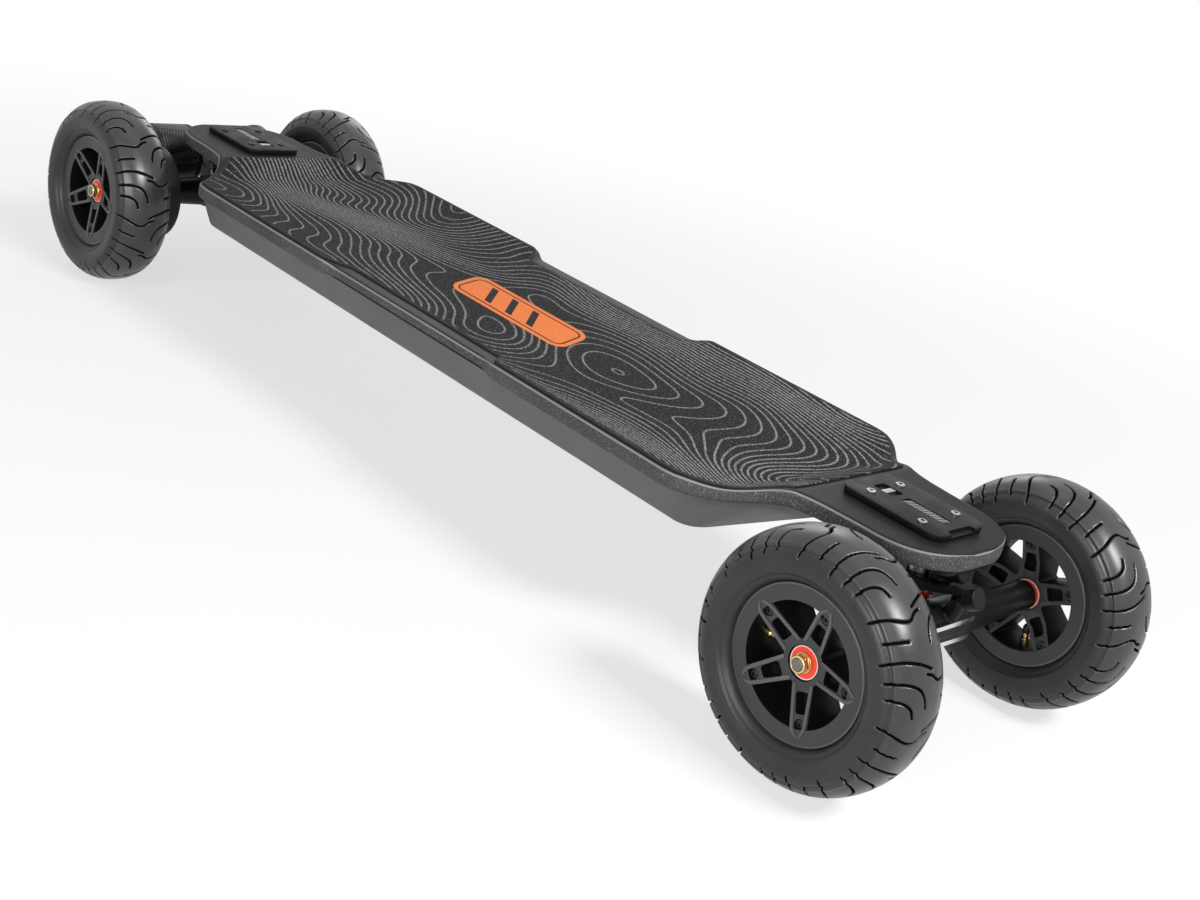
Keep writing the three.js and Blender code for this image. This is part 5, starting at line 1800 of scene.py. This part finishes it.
def bushingMesh(pin, side):
    v = truckValues
    near, far = v["bushingSpan"]
    radius, hole = v["bushingRadius"], v["pinRadius"] + v["gap"]
    atEnds, atQuarters, roundness = v["bushingWaist"]
    profile = [
        (hole, near), (radius - atEnds, near), (radius - atQuarters, lerp(near, far, 0.25)),
        (radius, lerp(near, far, 0.5)), (radius - atQuarters, lerp(near, far, 0.75)),
        (radius - atEnds, far), (hole, far),
    ]
    profile = filleted([(r, y * side) for r, y in profile], roundness, True)
    return meshOf("bushing", [moved(turned(profile, 72, True), along(pin["ring"], pin["up"]))])


def makeBushing(end, level, spot, pin):
    # soft rubber; the piece is left without a body, its mesh baked in place
    here = inMetres(truckPlaces[end])
    side = 1 if spot == "top" else -1
    piece = asObject(f"{end}{level.title()}{spot.title()}Bushing", bushingMesh(pin, side))
    piece.data.transform(here)
    smoothed(piece.data, 40)
    piece.data.materials.append(finishes["red rubber"])
    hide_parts(f"{end}_{level}_{spot}_bushing")
    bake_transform(piece)


def makeTruck(end):
    v = truckValues
    here = inMetres(truckPlaces[end])
    arm, hanger = f"{end}_arm", f"{end}_hanger"
    finishPiece(f"{end}Baseplate", baseplateMesh(), finishes["black metal"], "deck",
                [f"{end}_baseplate"], here, 45)
    finishPiece(f"{end}SwingArm", swingArmMesh(), finishes["black metal"], arm,
                [f"{end}_swing_arm"], here, 45)
    finishPiece(f"{end}Hanger", hangerMesh(), finishes["black metal"], hanger,
                [f"{end}_hanger"], here, 45)
    reach, thickness, spacing = v["ribs"]
    inset, width, margin, edge = v["machined"]
    strips = []
    for w in (spacing / 2, -spacing / 2):
        outline = roundedRectangle((reach - inset, w), width, thickness - margin, 0.4, 3)
        strips.append(roundedPlate(outline, -v["block"] + margin, v["block"] - margin, edge))
    finishPiece(f"{end}HangerMachinedEdges", meshOf("edges", strips), finishes["bright metal"], hanger,
                (), here)
    low, high = boxOf(f"{end}_axle")
    half, radius = (high.y - low.y) / 2, v["axleRadius"]
    rod = filleted([(0, -half), (radius, -half), (radius, half), (0, half)], 0.6)
    finishPiece(f"{end}Axle", meshOf("axle", [turned(rod, 40)]), finishes["dull steel"], hanger,
                [f"{end}_axle"], here)
    upperHead = headStarts()[1]
    lowerHead = v["bushingSpan"][1] + v["gap"] + v["armRise"] + v["gap"]
    finishPiece(f"{end}UpperKingpin", kingpinMesh(upperPin, upperHead), finishes["steel"], "deck",
                [f"{end}_upper_kingpin"], here)
    finishPiece(f"{end}LowerKingpin", kingpinMesh(lowerPin, lowerHead), finishes["steel"], arm,
                [f"{end}_lower_kingpin"], here)
    for spot in ("top", "bottom"):
        makeBushing(end, "upper", spot, upperPin)
    for spot in ("top", "bottom"):
        makeBushing(end, "lower", spot, lowerPin)


for truckEnd in ("front", "rear"):
    makeTruck(truckEnd)
print("trucks ready")


# Drives, on the rear truck's frame, on the side that the sign gives
driveValues = {
    "shaft": (51.0, 20.5),
    "shaftRod": (4, 62.3, 91),         # radius, from, to
    "belt": (77.0, 92.0, 2.5),         # from, to, thickness
    "beltInset": 0.1,                  # how much its back stays inside that thickness
    "beltBack": 1.2,                   # thickness without the teeth
    "beltTooth": 1.1,
    "beltTeeth": 92,
    "wheelPulley": 36.0,
    "wheelTeeth": 44,
    "motorPulley": 12.0,
    "motorTeeth": 15,
    "pulleyRoom": 0.3,
    "pulleyTooth": 1.2,
    "pulleyEnds": (0.5, 1.5),          # how far the motor's and the wheel's pulley end before the belt
    "sleeve": (14.0, 24.0, 109.5),     # bore, radius, end
}


def loopAround(axleRadius, shaftRadius, steps=24):
    # a line round two circles, on the axle and on the motor's shaft
    u, w = driveValues["shaft"]
    lean = math.atan2(w, u)
    away = math.acos((axleRadius - shaftRadius) / math.hypot(u, w))
    first = arc((0, 0), axleRadius, lean + away, lean - away + fullTurn, 2 * steps)
    return [Vector(p) for p in first + arc((u, w), shaftRadius, lean - away, lean + away, steps)]


def onSide(side, start, end):
    return (start, end) if side > 0 else (-end, -start)


def toothedLoop(outline, teeth, back, depth):
    # walks evenly along a closed outline and gives the inner line with its teeth
    closedLine = outline + [outline[0]]
    lengths = [0.0]
    for first, second in zip(closedLine, closedLine[1:]):
        lengths.append(lengths[-1] + (second - first).length)
    count = teeth * 6
    line = walkedAlong(np.array(closedLine), lengths, np.arange(count) * lengths[-1] / count)
    tangents = np.roll(line, -1, 0) - np.roll(line, 1, 0)
    tangents /= np.linalg.norm(tangents, axis=1)[:, None]
    inward = np.stack([-tangents[:, 1], tangents[:, 0]], 1)
    shape = np.tile([0.0, 1.0, 1.0, 1.0, 0.0, 0.0], teeth) * depth
    return line, line + inward * (back + shape)[:, None]


def ringShape(outer, inner, start, end):
    # a closed band between two lines with as many points
    points = [Vector((p[0], y, p[1])) for y in (start, end) for row in (outer, inner) for p in row]
    count = len(outer)
    a, b, c, d = 0, count, 2 * count, 3 * count
    faces = []
    for i in range(count):
        j = (i + 1) % count
        faces += [(a + i, a + j, c + j, c + i), (b + i, b + j, d + j, d + i),
                  (a + i, a + j, b + j, b + i), (c + i, c + j, d + j, d + i)]
    return points, faces


def toothedLine(radius, teeth):
    # six points for each tooth, three of them down in the gap
    line = []
    for k in range(teeth * 6):
        angle = fullTurn * k / (teeth * 6)
        r = radius - (driveValues["pulleyTooth"] if k % 6 in (1, 2, 3) else 0.0)
        line.append((r * math.cos(angle), r * math.sin(angle)))
    return line


def makeBelt(side, name, here):
    v = driveValues
    start, end, thickness = v["belt"]
    more = thickness - v["beltInset"]
    outline = loopAround(v["wheelPulley"] + more, v["motorPulley"] + more, 40)
    outer, inner = toothedLoop(outline, v["beltTeeth"], v["beltBack"], v["beltTooth"])
    shape = ringShape(outer, inner, *onSide(side, start, end))
    finishPiece(f"{name}DriveBelt", meshOf("belt", [shape]), finishes["belt rubber"], "rear_hanger",
                [f"{name}_drive_belt"], here, 30)


def makeMotorPulley(side, name, here):
    v = driveValues
    start, end = v["belt"][:2]
    toShaft = Matrix.Translation((v["shaft"][0], 0, v["shaft"][1]))
    radius, rodStart, rodEnd = v["shaftRod"]
    low, high = side * rodStart, side * rodEnd
    rod = turned(filleted([(0, low), (radius, low), (radius, high), (0, high)], 0.4), 40)
    line = toothedLine(v["motorPulley"] - v["pulleyRoom"], v["motorTeeth"])
    wheel = prism(line, *onSide(side, start, end - v["pulleyEnds"][0]))
    shapes = [moved(rod, toShaft), moved(wheel, toShaft)]
    finishPiece(f"{name}MotorPulley", meshOf("motor pulley", shapes), finishes["steel"],
                f"{name}_motor_pulley", [f"{name}_motor_pulley"], here, 30)


def makeWheelPulley(side, name, here):
    v = driveValues
    start, end = v["belt"][:2]
    bore, radius, sleeveEnd = v["sleeve"]
    line = toothedLine(v["wheelPulley"] - v["pulleyRoom"], v["wheelTeeth"])
    hole = arc((0, 0), bore, 0, fullTurn, len(line))[:-1]
    wheel = ringShape(line, hole, *onSide(side, start, end - v["pulleyEnds"][1]))
    low, high = side * start, side * sleeveEnd
    sleeve = turned(filleted([(bore, low), (radius, low), (radius, high), (bore, high)], 0.4, True), 72, True)
    finishPiece(f"{name}WheelPulley", meshOf("wheel pulley", [wheel, sleeve]), finishes["black metal"],
                f"rear_{name}_wheel", [f"{name}_wheel_pulley"], here, 30)


def ringOfSpots(count, reach):
    # spots round the motor's shaft
    u, w = driveValues["shaft"]
    angles = [fullTurn * (k + 0.5) / count for k in range(count)]
    return [(u + reach * math.cos(angle), w + reach * math.sin(angle)) for angle in angles]


def besideLean(reach, turn):
    # a spot on the line from the axle to the motor's shaft, and off it by the turn
    lean = Vector(driveValues["shaft"]).normalized()
    return lean * reach + Vector((-lean.y, lean.x)) * turn


def makeScrews(name, spots, y, facing, size, here):
    shapes = [moved(boltShape(*size), along((u, y, w), (0, facing, 0))) for u, w in spots]
    finishPiece(name, meshOf(name, shapes), finishes["steel"], "rear_hanger", (), here)


motorValues = {
    "radius": 30.0,
    "ends": (10.0, 62.0),
    # radius and place from the inner end: its rings and its rounded shoulder
    "innerEnd": ((0, 0), (7, 0), (7, 1), (12, 1), (12, 0), (24, 0), (27.4, 2.2), (30, 3)),
    "outerEnd": ((30, 3), (27, 0), (0, 0)),   # from the outer end
    "grooves": (0.7, 6.4, 6.9, 7.5, 8.0),     # depth, and its corners' places from an end
    "patternStart": 7.0,                      # from an end
    "screws": (4, 19.0, 0.9),                 # how many, on which radius, sunk by
    "screw": (2.2, 1.3),
}


def makeMotor(side, name, here):
    v = motorValues
    u, w = driveValues["shaft"]
    radius = v["radius"]
    start, end = v["ends"]
    depth, edge, floor, floorEnd, outer = v["grooves"]
    groove = ((radius, edge), (radius - depth, floor), (radius - depth, floorEnd), (radius, outer))
    half = [(r, start + y) for r, y in (*v["innerEnd"], *groove)]
    half += [(r, end - y) for r, y in (*reversed(groove), *v["outerEnd"])]
    profile = filleted([(r, side * y) for r, y in half], 0.5)
    mesh = meshOf("motor", [moved(turned(profile, 128), Matrix.Translation((u, 0, w)))])
    patternStart, patternEnd = start + v["patternStart"], end - v["patternStart"]
    for face in mesh.polygons:
        face.material_index = 0 if patternStart < abs(face.center.y) / mm < patternEnd else 1
    finishPiece(f"{name}Motor", mesh, [finishes["motor can"], finishes["black metal"]],
                "rear_hanger", [f"{name}_motor"], here)
    count, reach, sunk = v["screws"]
    spots = ringOfSpots(count, reach)
    makeScrews(f"{name}MotorScrews", spots, side * (start + sunk), -side, v["screw"], here)


mountValues = {
    "ends": (62.3, 69.3),
    "edge": 1.0,
    "clamp": (19.0, 12.0),       # radius and width of the clamp on the hanger
    "motorMargin": 1.5,
    "hangerHole": (13.5, 10),    # radius, start
    "shaftHole": (6, 40),
    "lightHoles": (3.4, 50),
    "lightHolePlaces": ((26.0, 11), (38.0, 11)),  # from the axle and off the line to the shaft
    "past": 5,                   # a hole's reach past the outer side
    "bevel": (0.4, 50),
    "screws": (4, 12.5),         # how many, on which radius
    "screw": (2.6, 2.2),
}


def makeMount(side, name, here):
    v = mountValues
    start, end = v["ends"]
    clamp, clampWidth = v["clamp"]
    outline = loopAround(clamp, motorValues["radius"] + v["motorMargin"], 30)
    base = roundedPlate(outline, *onSide(side, start, end), v["edge"])
    joined = [bar(clamp, (0, side * (end - clampWidth), 0), (0, side * end, 0), 72, 1.0)]
    holes = [((0, 0), *v["hangerHole"], 72), (driveValues["shaft"], *v["shaftHole"], 40)]
    for reach, turn in v["lightHolePlaces"]:
        holes += [(besideLean(reach, way * turn), *v["lightHoles"], 32) for way in (-1, 1)]
    removed = [
        bar(radius, (a, side * low, b), (a, side * (end + v["past"]), b), steps, 0.2)
        for (a, b), radius, low, steps in holes
    ]
    mesh = bevelled(carved("mount", base, joined, removed), *v["bevel"])
    finishPiece(f"{name}MotorMount", mesh, finishes["grey metal"], "rear_hanger",
                [f"{name}_motor_mount"], here)
    makeScrews(f"{name}MountScrews", ringOfSpots(*v["screws"]), side * end, side, v["screw"], here)


coverValues = {
    "ends": (69.6, 94.2),
    "edge": 1.6,
    "wall": 2.2,
    "face": 1.5,
    "clearance": 2.6,            # around the belt
    "port": 26.0,
    "past": (3, 5),              # reach of the cuts past its open side and past its face
    "screwPlaces": ((60.0, 9.0), (60.0, -9.0), (34.0, 27.0), (34.0, -27.0)),
    "screwSunk": 0.5,
    "screw": (2.0, 1.1),
}


def makeCover(side, name, here):
    v = coverValues
    start, end = v["ends"]
    behind, beyond = v["past"]
    around = driveValues["belt"][2] + v["clearance"]
    wheel, motor = driveValues["wheelPulley"] + around, driveValues["motorPulley"] + around
    outline = loopAround(wheel + v["wall"], motor + v["wall"], 40)
    base = roundedPlate(outline, *onSide(side, start, end), v["edge"])
    removed = [
        prism(loopAround(wheel, motor, 40), *onSide(side, start - behind, end - v["face"])),
        bar(v["port"], (0, side * (start - behind), 0), (0, side * (end + beyond), 0), 72, 0.2),
    ]
    finishPiece(f"{name}BeltCover", carved("cover", base, (), removed), finishes["cover plastic"],
                "rear_hanger", [f"{name}_belt_cover"], here, 30)
    spots = [besideLean(reach, turn) for reach, turn in v["screwPlaces"]]
    makeScrews(f"{name}CoverScrews", spots, side * (end - v["screwSunk"]), side, v["screw"], here)


def makeDrive(side, name):
    here = inMetres(truckPlaces["rear"])
    makeMotor(side, name, here)
    makeMount(side, name, here)
    makeBelt(side, name, here)
    makeMotorPulley(side, name, here)
    makeWheelPulley(side, name, here)
    makeCover(side, name, here)


makeDrive(1, "right")
makeDrive(-1, "left")
print("drives ready")

# CAD pieces that stay, with their finish
for node, finish in (("battery_pack", "battery wrap"), ("motor_controller", "controller case")):
    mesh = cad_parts[node].data
    mesh.materials.clear()
    mesh.materials.append(finishes[finish])
